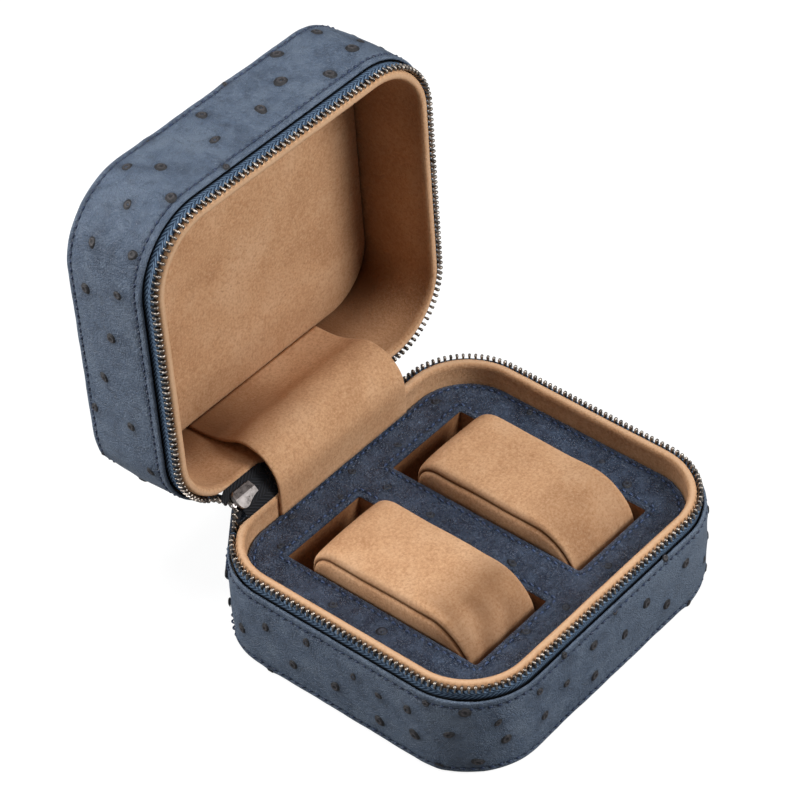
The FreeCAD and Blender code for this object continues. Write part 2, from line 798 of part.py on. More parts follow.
def slider():
    """Two plates joined by the divider, with guide edges that leave a slot for the tape."""
    parts = []
    shoulder = S["slider_width"] / 2
    tail_half = S["slider_tail_width"] / 2
    round_x = slider_nose + shoulder
    for tag, near in (("inner", chain_line - plate_outer), ("outer", chain_line + plate_inner)):
        parts.append(disc("slider_%s_round" % tag, round_x, near, parting_height, shoulder, S["plate_thick"]))
        low = (round_x, near, parting_height - tail_half)
        size = (slider_tail - round_x, S["plate_thick"], tail_half * 2)
        parts.append(block("slider_%s_tail" % tag, low, size))
    post_low = chain_line - plate_inner
    parts.append(disc("slider_post", post_x, post_low, parting_height, S["post_radius"], plate_inner * 2))
    flange_depth = plate_inner - S["tape_slot"] / 2
    for tag, near in (("inner", chain_line - plate_inner), ("outer", chain_line + S["tape_slot"] / 2)):
        for side, z in (("lower", -tail_half), ("upper", tail_half - S["flange_thick"])):
            low = (slider_tail - S["flange_length"], near, parting_height + z)
            size = (S["flange_length"], flange_depth, S["flange_thick"])
            parts.append(block("slider_flange_%s_%s" % (tag, side), low, size))
    fuse = doc.addObject("Part::MultiFuse", "slider_fuse")
    fuse.Shapes = parts
    fuse.Refine = True
    finish(fuse, "slider_body", HALFWAY_SHARE)


def slider_crown():
    """Bridge on the outer plate that carries the pull."""
    reach = S["crown_span"] / 2 + S["crown_foot"]
    bar = doc.addObject("Part::Cylinder", "crown_bar")
    bind(bar, "Radius", S["crown_radius"])
    bind(bar, "Height", reach * 2)
    bar.setExpression(
        "Placement",
        "placement(vector(%s; %s; %s); rotation(vector(0; 1; 0); 90))"
        % ((slider_x - reach).text, crown_line.text, parting_height.text),
    )
    parts = [bar]
    foot_low = chain_line + plate_outer
    for tag, x in (("front", slider_x - reach), ("rear", slider_x + S["crown_span"] / 2)):
        low = (x, foot_low, parting_height - S["crown_radius"])
        size = (S["crown_foot"], crown_line - foot_low, S["crown_radius"] * 2)
        parts.append(block("crown_foot_" + tag, low, size))
    fuse = doc.addObject("Part::MultiFuse", "crown_fuse")
    fuse.Shapes = parts
    fuse.Refine = True
    finish(fuse, "slider_crown", HALFWAY_SHARE)


zip_tail()
slider()
slider_crown()

# Pull: it hangs from the bridge's bar, leaning to the left, drawn about the bar's middle
HANG = (
    "placement(vector(0; 0; 0); rotation(vector(1; 0; 0); (0 - %s) / 2); vector(0; %s; %s))"
    " * placement(vector(%s; %s; %s); rotation(vector(1; 0; 0); %s / 2))"
    " * placement(vector(0; 0; 0); rotation(vector(0; 1; 0); %s))"
) % (
    S["lid_open_angle"].text,
    hinge_line.text,
    parting_height.text,
    slider_x.text,
    crown_line.text,
    parting_height.text,
    S["lid_open_angle"].text,
    S["pull_lean"].text,
)
ring_middle = S["ring_radius"] - S["ring_wire"] - S["ring_play"] - S["crown_radius"]
eyelet_depth = ring_middle + S["ring_radius"]


def pull_pieces():
    """Wire ring, leather pull with a metal eyelet."""
    ring_item = doc.addObject("Part::Torus", "pull_ring_torus")
    bind(ring_item, "Radius1", S["ring_radius"])
    bind(ring_item, "Radius2", S["ring_wire"])
    ring_item.setExpression(
        "Placement",
        HANG + " * placement(vector(0; 0; %s); rotation(vector(0; 1; 0); 90))" % (-ring_middle).text,
    )
    finish(ring_item, "pull_ring")
    tab = new_body("pull_tab")
    sketch = new_sketch(tab, "pull_tab_outline", ZERO, "XZ_Plane")
    middle = eyelet_depth - S["tab_shoulder"] + S["tab_length"] / 2
    bind(sketch, "AttachmentOffset.Base.y", -middle)
    draw_round_outline(sketch, "tab", S["tab_width"], S["tab_length"], S["tab_corner"])
    leather = pad(tab, sketch, "pull_tab_pad", S["tab_thick"])
    leather.Midplane = True
    bore = S["eyelet_hole"] + S["eyelet_wall"]
    hole = new_sketch(tab, "pull_tab_bore", ZERO, "XZ_Plane")
    draw_circle(hole, "bore", ZERO, -eyelet_depth, bore)
    cut = pocket(tab, hole, "pull_tab_cut")
    cut.Midplane = True
    tab.setExpression("Placement", HANG)
    finish(tab, "pull_tab")
    eyelet = new_body("pull_eyelet")
    sketch = new_sketch(eyelet, "pull_eyelet_outline", ZERO, "XZ_Plane")
    draw_circle(sketch, "outer", ZERO, -eyelet_depth, bore)
    draw_circle(sketch, "inner", ZERO, -eyelet_depth, S["eyelet_hole"])
    metal = pad(eyelet, sketch, "pull_eyelet_pad", S["tab_thick"] + S["eyelet_proud"] * 2)
    metal.Midplane = True
    eyelet.setExpression("Placement", HANG)
    finish(eyelet, "pull_eyelet")


pull_pieces()


# Leather and suede that cross the hinge
def bent_strip(start, heading, steps, thick, width):
    """Strip of even thickness along lines and arcs in the Y-Z plane, spread along X.

    A step is ("line", length) or ("bend", radius, angle): a positive angle turns to +Y.
    """
    edges = {-1: [], 1: []}
    first = {}
    last = {}
    point = start
    for step in steps:
        left = Vector(0, -heading.z, heading.y)
        if step[0] == "line":
            onward = point + heading * step[1]
            for side in edges:
                shift = left * (thick / 2 * side)
                edges[side].append(Part.LineSegment(point + shift, onward + shift).toShape())
                first.setdefault(side, point + shift)
                last[side] = onward + shift
            point = onward
            continue
        radius, angle = step[1], step[2]
        inward = -left if angle > 0 else left
        centre = point + inward * radius
        for side in edges:
            shift = left * (thick / 2 * side)
            spots = [centre + turn_about_x(point + shift - centre, angle * share) for share in (0, 0.5, 1)]
            edges[side].append(Part.Arc(*spots).toShape())
            first.setdefault(side, spots[0])
            last[side] = spots[2]
        point = centre + turn_about_x(point - centre, angle)
        heading = turn_about_x(heading, angle)
    caps = [
        Part.LineSegment(first[-1], first[1]).toShape(),
        Part.LineSegment(last[-1], last[1]).toShape(),
    ]
    outline = Part.Wire(Part.__sortEdges__(edges[-1] + edges[1] + caps))
    strip = Part.Face(outline).extrude(Vector(width, 0, 0))
    strip.translate(Vector(-width / 2, 0, 0))
    return strip


def turn_about_x(arrow, angle):
    """Turn a vector from +Z towards +Y."""
    c = math.cos(angle)
    s = math.sin(angle)
    return Vector(arrow.x, c * arrow.y + s * arrow.z, c * arrow.z - s * arrow.y)


def flap_and_spine():
    """Suede flap inside the hinge and the leather hinge outside it."""
    opening = math.radians(S["lid_open_angle"].value)
    thick = S["flap_thick"].value
    play = S["flap_play"].value
    first_bend = S["flap_bend"].value
    second_bend = S["flap_dip"].value
    back_face = (half_depth - lining_face).value
    start = Vector(0, back_face - play - thick / 2, S["insert_height"].value + play)
    pad_face = (shut_height - floor_top - S["lid_pad_thick"]).value
    shut_end = Vector(0, back_face - play - thick / 2, pad_face - play)
    end = HINGE_POINT + turn_about_x(shut_end - HINGE_POINT, opening)
    rise = S["flap_rise"].value
    top = start + Vector(0, 0, rise)
    across = Vector(0, -math.cos(opening), math.sin(opening))
    centre = top + Vector(0, first_bend, 0)
    lift = (end - centre).dot(across)
    ease = math.acos((lift + second_bend) / (first_bend + second_bend))
    fold = opening + ease
    up = Vector(0, 0, 1)
    turned = centre + turn_about_x(top - centre, fold)
    side = turn_about_x(Vector(0, -1, 0), fold)
    joined = turned + (side - across) * second_bend
    run_out = (end - joined).dot(turn_about_x(up, opening))
    steps = [("line", rise), ("bend", first_bend, fold), ("bend", second_bend, -ease), ("line", run_out)]
    flap = doc.addObject("Part::Feature", "inner_flap_shape")
    flap.Shape = bent_strip(start, up, steps, thick, S["flap_width"].value)
    finish(flap, "inner_flap")
    print("inner flap flat length", round(rise + first_bend * fold + second_bend * ease + run_out, 2))
    thick = S["spine_thick"].value
    half_gap = S["zip_gap"].value / 2
    radius = half_gap / math.tan(opening / 2) + S["hinge_offset"].value - thick / 2
    lap = S["spine_lap"].value
    low = Vector(0, half_depth.value + thick / 2, S["base_wall_height"].value - lap)
    steps = [("line", lap), ("bend", radius, opening), ("line", lap)]
    spine = doc.addObject("Part::Feature", "spine_leather_shape")
    spine.Shape = bent_strip(low, up, steps, thick, S["spine_width"].value)
    finish(spine, "spine_leather")
    print("spine leather flat length", round(2 * lap + radius * opening, 2))


flap_and_spine()
doc.recompute()

# Every object and every finished piece is sound before anything is written
for item in doc.Objects:
    faults = [word for word in item.State if word in ("Invalid", "Error")]
    if faults:
        raise RuntimeError("%s is %s" % (item.Name, faults))
for item in finished:
    shape = item.Shape
    if shape.isNull() or not shape.isValid() or not shape.Solids:
        raise RuntimeError("%s has no sound shape" % item.Label)

os.makedirs("parts", exist_ok=True)
for item in finished:
    item.Shape.exportStep(os.path.join("parts", item.Label + ".step"))
    print("%-24s solids %3d  volume %9.1f" % (item.Label, len(item.Shape.Solids), item.Shape.Volume))
print(len(finished), "pieces; shut height", shut_height.value)
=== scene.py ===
"""A zipped travel case for two watches: blue quill leather outside, tan suede inside."""
import json
import math
import random

import bmesh
import bpy
from mathutils import Matrix, Vector, geometry, kdtree, noise
from mathutils.bvhtree import BVHTree


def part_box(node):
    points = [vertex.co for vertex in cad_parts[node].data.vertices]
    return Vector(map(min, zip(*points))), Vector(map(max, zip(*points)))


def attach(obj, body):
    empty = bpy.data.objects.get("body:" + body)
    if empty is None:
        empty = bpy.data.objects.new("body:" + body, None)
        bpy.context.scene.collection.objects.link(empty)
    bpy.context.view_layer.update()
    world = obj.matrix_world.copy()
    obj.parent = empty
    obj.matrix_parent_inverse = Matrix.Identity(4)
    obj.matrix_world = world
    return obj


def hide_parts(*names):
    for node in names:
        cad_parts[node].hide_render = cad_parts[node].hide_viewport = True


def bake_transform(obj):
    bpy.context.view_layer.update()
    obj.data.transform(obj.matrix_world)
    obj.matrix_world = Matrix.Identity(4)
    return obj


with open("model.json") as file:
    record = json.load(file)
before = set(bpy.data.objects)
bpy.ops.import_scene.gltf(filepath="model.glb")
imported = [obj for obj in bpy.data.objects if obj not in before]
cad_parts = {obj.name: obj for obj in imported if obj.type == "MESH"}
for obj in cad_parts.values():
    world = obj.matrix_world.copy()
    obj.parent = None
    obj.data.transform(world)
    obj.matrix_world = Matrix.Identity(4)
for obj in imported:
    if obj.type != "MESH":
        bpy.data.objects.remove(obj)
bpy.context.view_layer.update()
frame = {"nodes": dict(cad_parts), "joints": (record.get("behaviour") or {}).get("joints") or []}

MM = 0.001


def box_mm(node):
    """The corners of a frame piece's box, in millimetres."""
    low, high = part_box(node)
    return low / MM, high / MM


# Sizes of the case, in millimetres, read from the frame
WALL_TOP = box_mm("base_leather_wall")[1]
HALF_WIDTH = WALL_TOP.x
HALF_DEPTH = WALL_TOP.y
BASE_LIP = box_mm("base_leather_welt")[1].z
TAPE_LOW, TAPE_HIGH = box_mm("base_zip_tape")
LINING_LOW, LINING_HIGH = box_mm("base_lining_wall")
INSERT_LOW, INSERT_HIGH = box_mm("insert_leather")
HINGE = next(joint for joint in frame["joints"] if joint["name"] == "lid_hinge")
HINGE_POINT = Vector(HINGE["pos_m"]) / MM
OPENING = math.radians(HINGE["range_deg"][1])

# Sizes that the frame doesn't show, in millimetres
CORNER = 27.0
TAPE_THICK = 0.7
CHAIN_INSET = 2.1
CHAIN_RIGHT = 33.0
CHAIN_LEFT = 52.0
TOOTH_PITCH = 2.12
STOP_LENGTH = 2.0
LINING_THICK = 3.0
LID_FLOOR_LIFT = 0.5
STITCH_PITCH = 3.0
STITCH_LENGTH = 2.1
THREAD_RADIUS = 0.38
QUILL_RADIUS = 1.8
LID_PAD_LOW = 3.7
LID_PAD_TOP = 7.7

# Directions when the case lies shut
ACROSS = Vector((1, 0, 0))
BACKWARDS = Vector((0, 1, 0))
UP = Vector((0, 0, 1))

# The middles of the round corners, and how far in from the walls each layer stands
CORE_X = HALF_WIDTH - CORNER
CORE_Y = HALF_DEPTH - CORNER
TAPE_INSET = HALF_WIDTH - TAPE_HIGH.x
LINING_INSET = HALF_WIDTH - LINING_HIGH.x
INSERT_INSET = HALF_WIDTH - INSERT_HIGH.x

HINGE_MOVE = Matrix.Translation(HINGE_POINT)
MIRROR = HINGE_MOVE @ Matrix.Diagonal((1, 1, -1, 1)) @ HINGE_MOVE.inverted()


def turned_open(angle):
    """The turn of the lid about the hinge line, from shut."""
    return HINGE_MOVE @ Matrix.Rotation(-angle, 4, "X") @ HINGE_MOVE.inverted()


class Half:
    """One half of the case. Both are drawn as the base, and the lid is its mirror image, swung open."""

    def __init__(self, name, matrix, floor):
        self.name = name
        self.matrix = matrix
        self.floor = floor


BASE = Half("base", Matrix.Identity(4), 0.0)
LID = Half("lid", turned_open(OPENING) @ MIRROR, LID_FLOOR_LIFT)
# The turn of what lies between the two halves
HALF_OPEN = turned_open(OPENING / 2)

# The camera of the photograph
CAMERA_TARGET = Vector((30.92, 54.26, 33.5))
CAMERA_AZIMUTH = math.radians(-48.5)
CAMERA_ELEVATION = math.radians(42.2)
CAMERA_ROLL = math.radians(-2.41)
CAMERA_DISTANCE = 1131.0
PHOTO_SIZE = 800
FOCAL_PIXELS = 3370.4
SENSOR = 36.0

VIEW_BACK = Vector(
    (
        math.sin(CAMERA_AZIMUTH) * math.cos(CAMERA_ELEVATION),
        -math.cos(CAMERA_AZIMUTH) * math.cos(CAMERA_ELEVATION),
        math.sin(CAMERA_ELEVATION),
    )
)
LEVEL_RIGHT = Vector((math.cos(CAMERA_AZIMUTH), math.sin(CAMERA_AZIMUTH), 0))
LEVEL_UP = VIEW_BACK.cross(LEVEL_RIGHT)
VIEW_RIGHT = LEVEL_RIGHT * math.cos(CAMERA_ROLL) + LEVEL_UP * math.sin(CAMERA_ROLL)
VIEW_UP = LEVEL_UP * math.cos(CAMERA_ROLL) - LEVEL_RIGHT * math.sin(CAMERA_ROLL)
VIEW_POINT = CAMERA_TARGET + VIEW_BACK * CAMERA_DISTANCE


def make_camera():
    data = bpy.data.cameras.new("photo_camera")
    data.sensor_width = SENSOR
    data.lens = FOCAL_PIXELS * SENSOR / PHOTO_SIZE
    camera = bpy.data.objects.new("photo_camera", data)
    turn = Matrix((VIEW_RIGHT, VIEW_UP, VIEW_BACK)).transposed().to_4x4()
    camera.matrix_world = Matrix.Translation(VIEW_POINT * MM) @ turn
    bpy.context.scene.collection.objects.link(camera)
    bpy.context.scene.camera = camera


def pixel_ray(across, down):
    """The direction in which the photograph's camera sees one of its pixels."""
    right = (across - PHOTO_SIZE / 2) / FOCAL_PIXELS
    up = (PHOTO_SIZE / 2 - down) / FOCAL_PIXELS
    return (VIEW_RIGHT * right + VIEW_UP * up - VIEW_BACK).normalized()


# Mesh helpers


def held(value, low=0.0, high=1.0):
    """The value, kept between two ends."""
    return max(low, min(high, value))


def bell(offset, width):
    """A soft hump: 1 at the middle, falling away over a width."""
    return math.exp(-((offset / width) ** 2))


def rough(point, scale, seed):
    """Smooth random value from -1 to 1 that changes over about the scale, in millimetres."""
    return noise.noise(Vector(point) / scale + Vector((seed, seed * 1.7, -seed)))


def uneven(point, swells):
    """Softly uneven height: each swell has its size, the length that it changes over, and a seed."""
    return sum(size * rough(point, scale, seed) for size, scale, seed in swells)


def search_tree(points):
    """Finds which of the points lie near a place."""
    tree = kdtree.KDTree(len(points))
    for number, point in enumerate(points):
        tree.insert(point, number)
    tree.balance()
    return tree


class Piece:
    """Gathers corners and faces, in millimetres, for one object with one or more finishes."""

    def __init__(self, name, half=BASE):
        self.name = name
        self.half = half
        self.points = []
        self.notes = []
        self.faces = []
        self.finishes = []

    def add(self, points, faces, finish=0, notes=None):
        """notes holds, for each point, its run along and across the piece and how shaded it is. A quill's
        first note is how far out its ring lies."""
        start = len(self.points)
        self.points.extend(points)
        self.notes.extend(notes or [(0.0, 0.0, 0.0)] * len(points))
        for face in faces:
            self.faces.append([start + corner for corner in face])
            self.finishes.append(finish)

    def build(self, body, materials, replaces=(), sharp=None):
        mesh = bpy.data.meshes.new(self.name)
        moved = [self.half.matrix @ Vector(point) * MM for point in self.points]
        mesh.from_pydata(moved, [], self.faces)
        mesh.validate()
        face_outwards(mesh)
        for material in materials:
            mesh.materials.append(material)
        mesh.polygons.foreach_set("use_smooth", [True] * len(mesh.polygons))
        mesh.polygons.foreach_set("material_index", self.finishes)
        notes = mesh.attributes.new("notes", "FLOAT_VECTOR", "POINT")
        notes.data.foreach_set("vector", [value for note in self.notes for value in note])
        if sharp is not None:
            mesh.set_sharp_from_angle(angle=math.radians(sharp))
        made = bpy.data.objects.new(self.name, mesh)
        bpy.context.scene.collection.objects.link(made)
        if replaces:
            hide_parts(*replaces)
        if body:
            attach(made, body)
        return made


def face_outwards(mesh):
    """Turns the faces of each closed form outwards."""
    turned = bmesh.new()
    turned.from_mesh(mesh)
    bmesh.ops.recalc_face_normals(turned, faces=turned.faces)
    turned.to_mesh(mesh)
    turned.free()


def grid_faces(rows, columns, closed_rows=False, closed_columns=False):
    """Quads over a grid of rows by columns, numbered row by row."""
    faces = []
    for row in range(rows if closed_rows else rows - 1):
        for column in range(columns if closed_columns else columns - 1):
            here, below = row * columns, (row + 1) % rows * columns
            beside = (column + 1) % columns
            faces.append((here + column, here + beside, below + beside, below + column))
    return faces


def capped_tube(rings, sides):
    """Faces of a closed form that is made of rings, with a cap on each end."""
    last = sides * (rings - 1)
    first_cap = tuple(range(sides))[::-1]
    last_cap = tuple(range(last, last + sides))
    return [*grid_faces(rings, sides, closed_columns=True), first_cap, last_cap]


def flipped(faces):
    """The faces, each seen from its other side."""
    return [face[::-1] for face in faces]


def cap_face(stations, rows, row):
    """The face that closes a shell, through one row's point at every station."""
    return tuple(rows * station + row for station in range(stations))


def smooth_line(points, spacing):
    """A smooth curve through the points, as new points about a spacing apart."""
    points = [Vector(point) for point in points]
    ends = [points[0] * 2 - points[1]] + points + [points[-1] * 2 - points[-2]]
    line = []
    for before, start, end, after in zip(ends, ends[1:], ends[2:], ends[3:]):
        count = max(1, math.ceil((end - start).length / spacing))
        for step in range(count):
            t = step / count
            straight = start * 2 + (end - before) * t
            bend = (before * 2 - start * 5 + end * 4 - after) * t**2
            twist = (start * 3 - before - end * 3 + after) * t**3
            line.append((straight + bend + twist) / 2)
    line.append(points[-1])
    return line


def rim_at(inset, distance):
    """A core point and the outward direction, at a distance round the outline from the middle of the back."""
    radius = CORNER - inset
    arc = radius * math.pi / 2
    corners = [(CORE_X, CORE_Y), (CORE_X, -CORE_Y), (-CORE_X, -CORE_Y), (-CORE_X, CORE_Y)]
    straights = [CORE_X, 2 * CORE_Y, 2 * CORE_X, 2 * CORE_Y, CORE_X]
    start = Vector((0, CORE_Y))
    left = distance % rim_length(inset)
    for leg, straight in enumerate(straights):
        angle = -leg * math.pi / 2
        out = Vector((-math.sin(angle), math.cos(angle)))
        if left <= straight or leg == len(straights) - 1:
            return start + Vector((math.cos(angle), math.sin(angle))) * left, out
        left -= straight
        start = Vector(corners[leg])
        if left < arc:
            angle += math.pi / 2 - left / radius
            return start, Vector((math.cos(angle), math.sin(angle)))
        left -= arc


def rim_length(inset):
    return 4 * (CORE_X + CORE_Y) + 2 * math.pi * (CORNER - inset)


def rim_point(core, out, inset, height):
    spot = core + out * (CORNER - inset)
    return Vector((spot.x, spot.y, height))


def rim_stations(spacing, inset=0.0, first=0.0, last=None):
    """Core points and directions at even steps, all round or from first to last."""
    whole = last is None
    length = rim_length(inset) if whole else last - first
    count = round(length / spacing)
    spots = range(count if whole else count + 1)
    return [(*rim_at(inset, first + length * spot / count), first + length * spot / count) for spot in spots]


def rim_directions(out):
    """The level directions along the rim and out of it."""
    return Vector((out.y, -out.x, 0)), Vector((out.x, out.y, 0))


THREAD_RISE = 0.75
THREAD_DIVE = 1.9
THREAD_TAPER = 0.3
THREAD_BREADTH = 1.15


def add_thread(piece, middle, along, out, finish):
    """One stitch, which rises out of one hole and dives into the next."""
    side = along.cross(out).normalized()
    sections = 5
    sides = 6
    points = []
    for section in range(sections):
        t = 2 * section / (sections - 1) - 1
        rise = THREAD_RADIUS * (THREAD_RISE - THREAD_DIVE * t * t)
        thickness = THREAD_RADIUS * (1 - THREAD_TAPER * t * t)
        centre = middle + along * (t * STITCH_LENGTH / 2) + out * rise
        for corner in range(sides):
            angle = 2 * math.pi * corner / sides
            spoke = side * math.cos(angle) * THREAD_BREADTH + out * math.sin(angle)
            points.append(centre + spoke * thickness)
    piece.add(points, capped_tube(sections, sides), finish)


# A quill's rings: share of its reach and height over the leather, from its buried skirt to the dimple's edge
QUILL_RINGS = [(1.3, -0.2), (1.12, 0.02), (0.96, 0.2), (0.8, 0.33), (0.62, 0.38), (0.46, 0.34)]
QUILL_DIMPLE_RINGS = [(0.3, 0.34), (0.12, 0.32)]
QUILL_REACH_SHARE = 0.86
QUILL_LEAN = 0.18


def add_quill(piece, middle, out, radius, finish, dice):
    """A quill follicle: a low dark nub with a raised rim and a dimple."""
    along = out.orthogonal().normalized()
    along = Matrix.Rotation(dice.uniform(0, math.pi), 3, out) @ along
    side = out.cross(along)
    sides = 18
    stretch = dice.uniform(0.72, 0.95)
    dimple = dice.uniform(0.08, 0.24)
    rings = QUILL_RINGS + [(share, rise - dimple) for share, rise in QUILL_DIMPLE_RINGS]
    lean = Vector((dice.uniform(-QUILL_LEAN, QUILL_LEAN), dice.uniform(-QUILL_LEAN, QUILL_LEAN)))
    waves = [dice.uniform(0, 2 * math.pi) for _ in range(2)]
    points = []
    notes = []
    for share, rise in rings:
        for corner in range(sides):
            angle = 2 * math.pi * corner / sides
            wobble = 0.05 * math.sin(2 * angle + waves[0]) + 0.02 * math.sin(3 * angle + waves[1])
            reach = QUILL_REACH_SHARE * radius * share * (1 + wobble * share)
            flat = Vector((math.cos(angle) * reach, math.sin(angle) * reach * stretch))
            flat += lean * radius * (1 - share)
            points.append(middle + along * flat.x + side * flat.y + out * rise * radius / QUILL_RADIUS)
            notes.append((share, 0.0, 0.0))
    last = sides * (len(rings) - 1)
    faces = grid_faces(len(rings), sides, closed_columns=True)
    faces.append(tuple(range(last, last + sides)))
    piece.add(points, faces, finish, notes)


# Shader helpers


def add_node(tree, kind, *links, **values):
    """A node with its inputs set or linked in order. None leaves an input as it is."""
    node = tree.nodes.new(kind)
    for name, value in values.items():
        setattr(node, name, value)
    for number, value in enumerate(links):
        if isinstance(value, bpy.types.NodeSocket):
            tree.links.new(value, node.inputs[number])
        elif value is not None:
            node.inputs[number].default_value = value
    return node


def maths(tree, operation, *links):
    return add_node(tree, "ShaderNodeMath", *links, operation=operation).outputs[0]


def scaled(tree, value, low, high, new_low=0.0, new_high=1.0):
    """The value moved from one range to another and held there."""
    return add_node(tree, "ShaderNodeMapRange", value, low, high, new_low, new_high).outputs[0]


def mixed(tree, share, first, second):
    """Two colours mixed by a share."""
    node = tree.nodes.new("ShaderNodeMix")
    node.data_type = "RGBA"
    for socket, value in ((node.inputs[0], share), (node.inputs[6], first), (node.inputs[7], second)):
        if isinstance(value, bpy.types.NodeSocket):
            tree.links.new(value, socket)
        else:
            socket.default_value = value
    return node.outputs[2]


def layered(tree, base, layers):
    """A colour under layers: each has a mask, the mask's range, the most that it covers, and its colour."""
    for mask, low, high, most, tint in layers:
        base = mixed(tree, scaled(tree, mask, low, high, 0.0, most), base, tint)
    return base


def noise_at(tree, place, scale, detail=3.0, roughness=0.55, distortion=0.0):
    """Noise whose marks are about the scale in size, in millimetres."""
    node = tree.nodes.new("ShaderNodeTexNoise")
    tree.links.new(place, node.inputs["Vector"])
    node.inputs["Scale"].default_value = 1 / (scale * MM)
    node.inputs["Detail"].default_value = detail
    node.inputs["Roughness"].default_value = roughness
    node.inputs["Distortion"].default_value = distortion
    return node.outputs["Fac"]


def colour(red, green, blue):
    """A colour written as it looks on a screen, from 0 to 255."""
    levels = []
    for value in (red, green, blue):
        level = value / 255
        levels.append(level / 12.92 if level <= 0.04045 else ((level + 0.055) / 1.055) ** 2.4)
    return (*levels, 1.0)


def new_group(name, inputs, outputs):
    """A node group with named inputs and outputs, returned with the sockets inside it."""
    tree = bpy.data.node_groups.new(name, "ShaderNodeTree")
    for label, kind in inputs.items():
        tree.interface.new_socket(name=label, in_out="INPUT", socket_type=kind)
    for label, kind in outputs.items():
        tree.interface.new_socket(name=label, in_out="OUTPUT", socket_type=kind)
    return tree, tree.nodes.new("NodeGroupInput").outputs, tree.nodes.new("NodeGroupOutput").inputs


def use_group(tree, group, values):
    """A node group placed in a material, with its inputs set or linked by name."""
    node = tree.nodes.new("ShaderNodeGroup")
    node.node_tree = group
    for name, value in values.items():
        if isinstance(value, bpy.types.NodeSocket):
            tree.links.new(value, node.inputs[name])
        else:
            node.inputs[name].default_value = value
    return node.outputs


FLOAT = "NodeSocketFloat"
COLOUR = "NodeSocketColor"
VECTOR = "NodeSocketVector"


def hide_group():
    """Dyed hide: patchy colour, fine pores and creases, with painted shade in folds and round quills, and
    painted highlight where the shade is below zero.
    """
    tree, given, made = new_group(
        "hide_grain",
        {"Place": VECTOR, "Shade": FLOAT, "Deep": COLOUR, "Dye": COLOUR, "Worn": COLOUR, "Fleck": COLOUR},
        {"Color": COLOUR, "Roughness": FLOAT, "Height": FLOAT},
    )
    place = given["Place"]
    patches = noise_at(tree, place, 15, 5, 0.6, 0.4)
    clouds = noise_at(tree, place, 4.5, 5, 0.65, 0.3)
    grain = noise_at(tree, place, 1.1, 4, 0.75)
    pores = noise_at(tree, place, 0.45, 2, 0.7)
    scratches = add_node(tree, "ShaderNodeMapping", place)
    scratches.inputs["Rotation"].default_value = (0.5, 0.35, 0.7)
    scratches.inputs["Scale"].default_value = (1, 0.22, 1)
    streaks = noise_at(tree, scratches.outputs[0], 1.3, 5, 0.7, 0.5)
    deep, worn, fleck = given["Deep"], given["Worn"], given["Fleck"]
    layers = [
        (patches, 0.5, 0.72, 0.7, worn),
        (patches, 0.48, 0.3, 0.4, deep),
        (clouds, 0.5, 0.66, 0.5, worn),
        (clouds, 0.48, 0.32, 0.45, deep),
        (grain, 0.6, 0.72, 0.7, fleck),
        (grain, 0.46, 0.28, 0.5, deep),
        (streaks, 0.6, 0.74, 0.5, fleck),
        (streaks, 0.42, 0.28, 0.5, deep),
        # Painted shade towards the deep colour, and painted highlight towards the worn colour where the shade
        # is below zero
        (given["Shade"], 0.0, 1.0, 1.0, deep),
        (given["Shade"], 0.0, -1.0, 0.7, worn),
    ]
    dyed = layered(tree, given["Dye"], layers)
    tree.links.new(dyed, made["Color"])
    tree.links.new(scaled(tree, clouds, 0.35, 0.65, 0.36, 0.56), made["Roughness"])
    pebbles = tree.nodes.new("ShaderNodeTexVoronoi")
    pebbles.feature = "DISTANCE_TO_EDGE"
    pebbles.inputs["Scale"].default_value = 1 / (1.1 * MM)
    tree.links.new(place, pebbles.inputs["Vector"])
    cracks = scaled(tree, pebbles.outputs["Distance"], 0.0, 0.16)
    height = maths(tree, "MULTIPLY_ADD", cracks, 0.3, maths(tree, "MULTIPLY", streaks, 1.1))
    height = maths(tree, "MULTIPLY_ADD", grain, 0.7, height)
    tree.links.new(maths(tree, "ADD", height, maths(tree, "MULTIPLY", pores, 0.2)), made["Height"])
    return tree


def nap_group():
    """Suede: brushed patches and short fibres, with painted shade, and painted highlight where the shade is
    below zero.
    """
    tree, given, made = new_group(
        "suede_nap",
        {
            "Place": VECTOR,
            "Shade": FLOAT,
            "Pile": COLOUR,
            "Brushed": COLOUR,
            "Rubbed": COLOUR,
            "Crease": COLOUR,
        },
        {"Color": COLOUR, "Height": FLOAT},
    )
    place = given["Place"]
    strokes = noise_at(tree, place, 20, 4, 0.55, 0.3)
    tufts = noise_at(tree, place, 3.0, 4, 0.65, 0.2)
    fibres = noise_at(tree, place, 0.9, 3, 0.75)
    brushed, rubbed = given["Brushed"], given["Rubbed"]
    layers = [
        (strokes, 0.5, 0.72, 0.5, brushed),
        (strokes, 0.48, 0.3, 0.4, rubbed),
        (tufts, 0.52, 0.75, 0.3, rubbed),
        (fibres, 0.5, 0.7, 0.6, rubbed),
        (fibres, 0.5, 0.3, 0.6, brushed),
        # Painted shade towards the shade colour, and painted highlight towards the brushed colour where the
        # shade is below zero
        (given["Shade"], 0.0, 1.0, 1.0, given["Crease"]),
        (given["Shade"], 0.0, -1.0, 1.0, brushed),
    ]
    pile = layered(tree, given["Pile"], layers)
    tree.links.new(pile, made["Color"])
    height = maths(tree, "MULTIPLY_ADD", tufts, 0.5, fibres)
    tree.links.new(height, made["Height"])
    return tree


WEAVE_HALF_WIDTH = 3.4
YARN_PITCH = 1.75
# Near black, painted as shadow on the tape inside the leather lip
LIP_SHADOW = (0.006, 0.009, 0.015, 1)


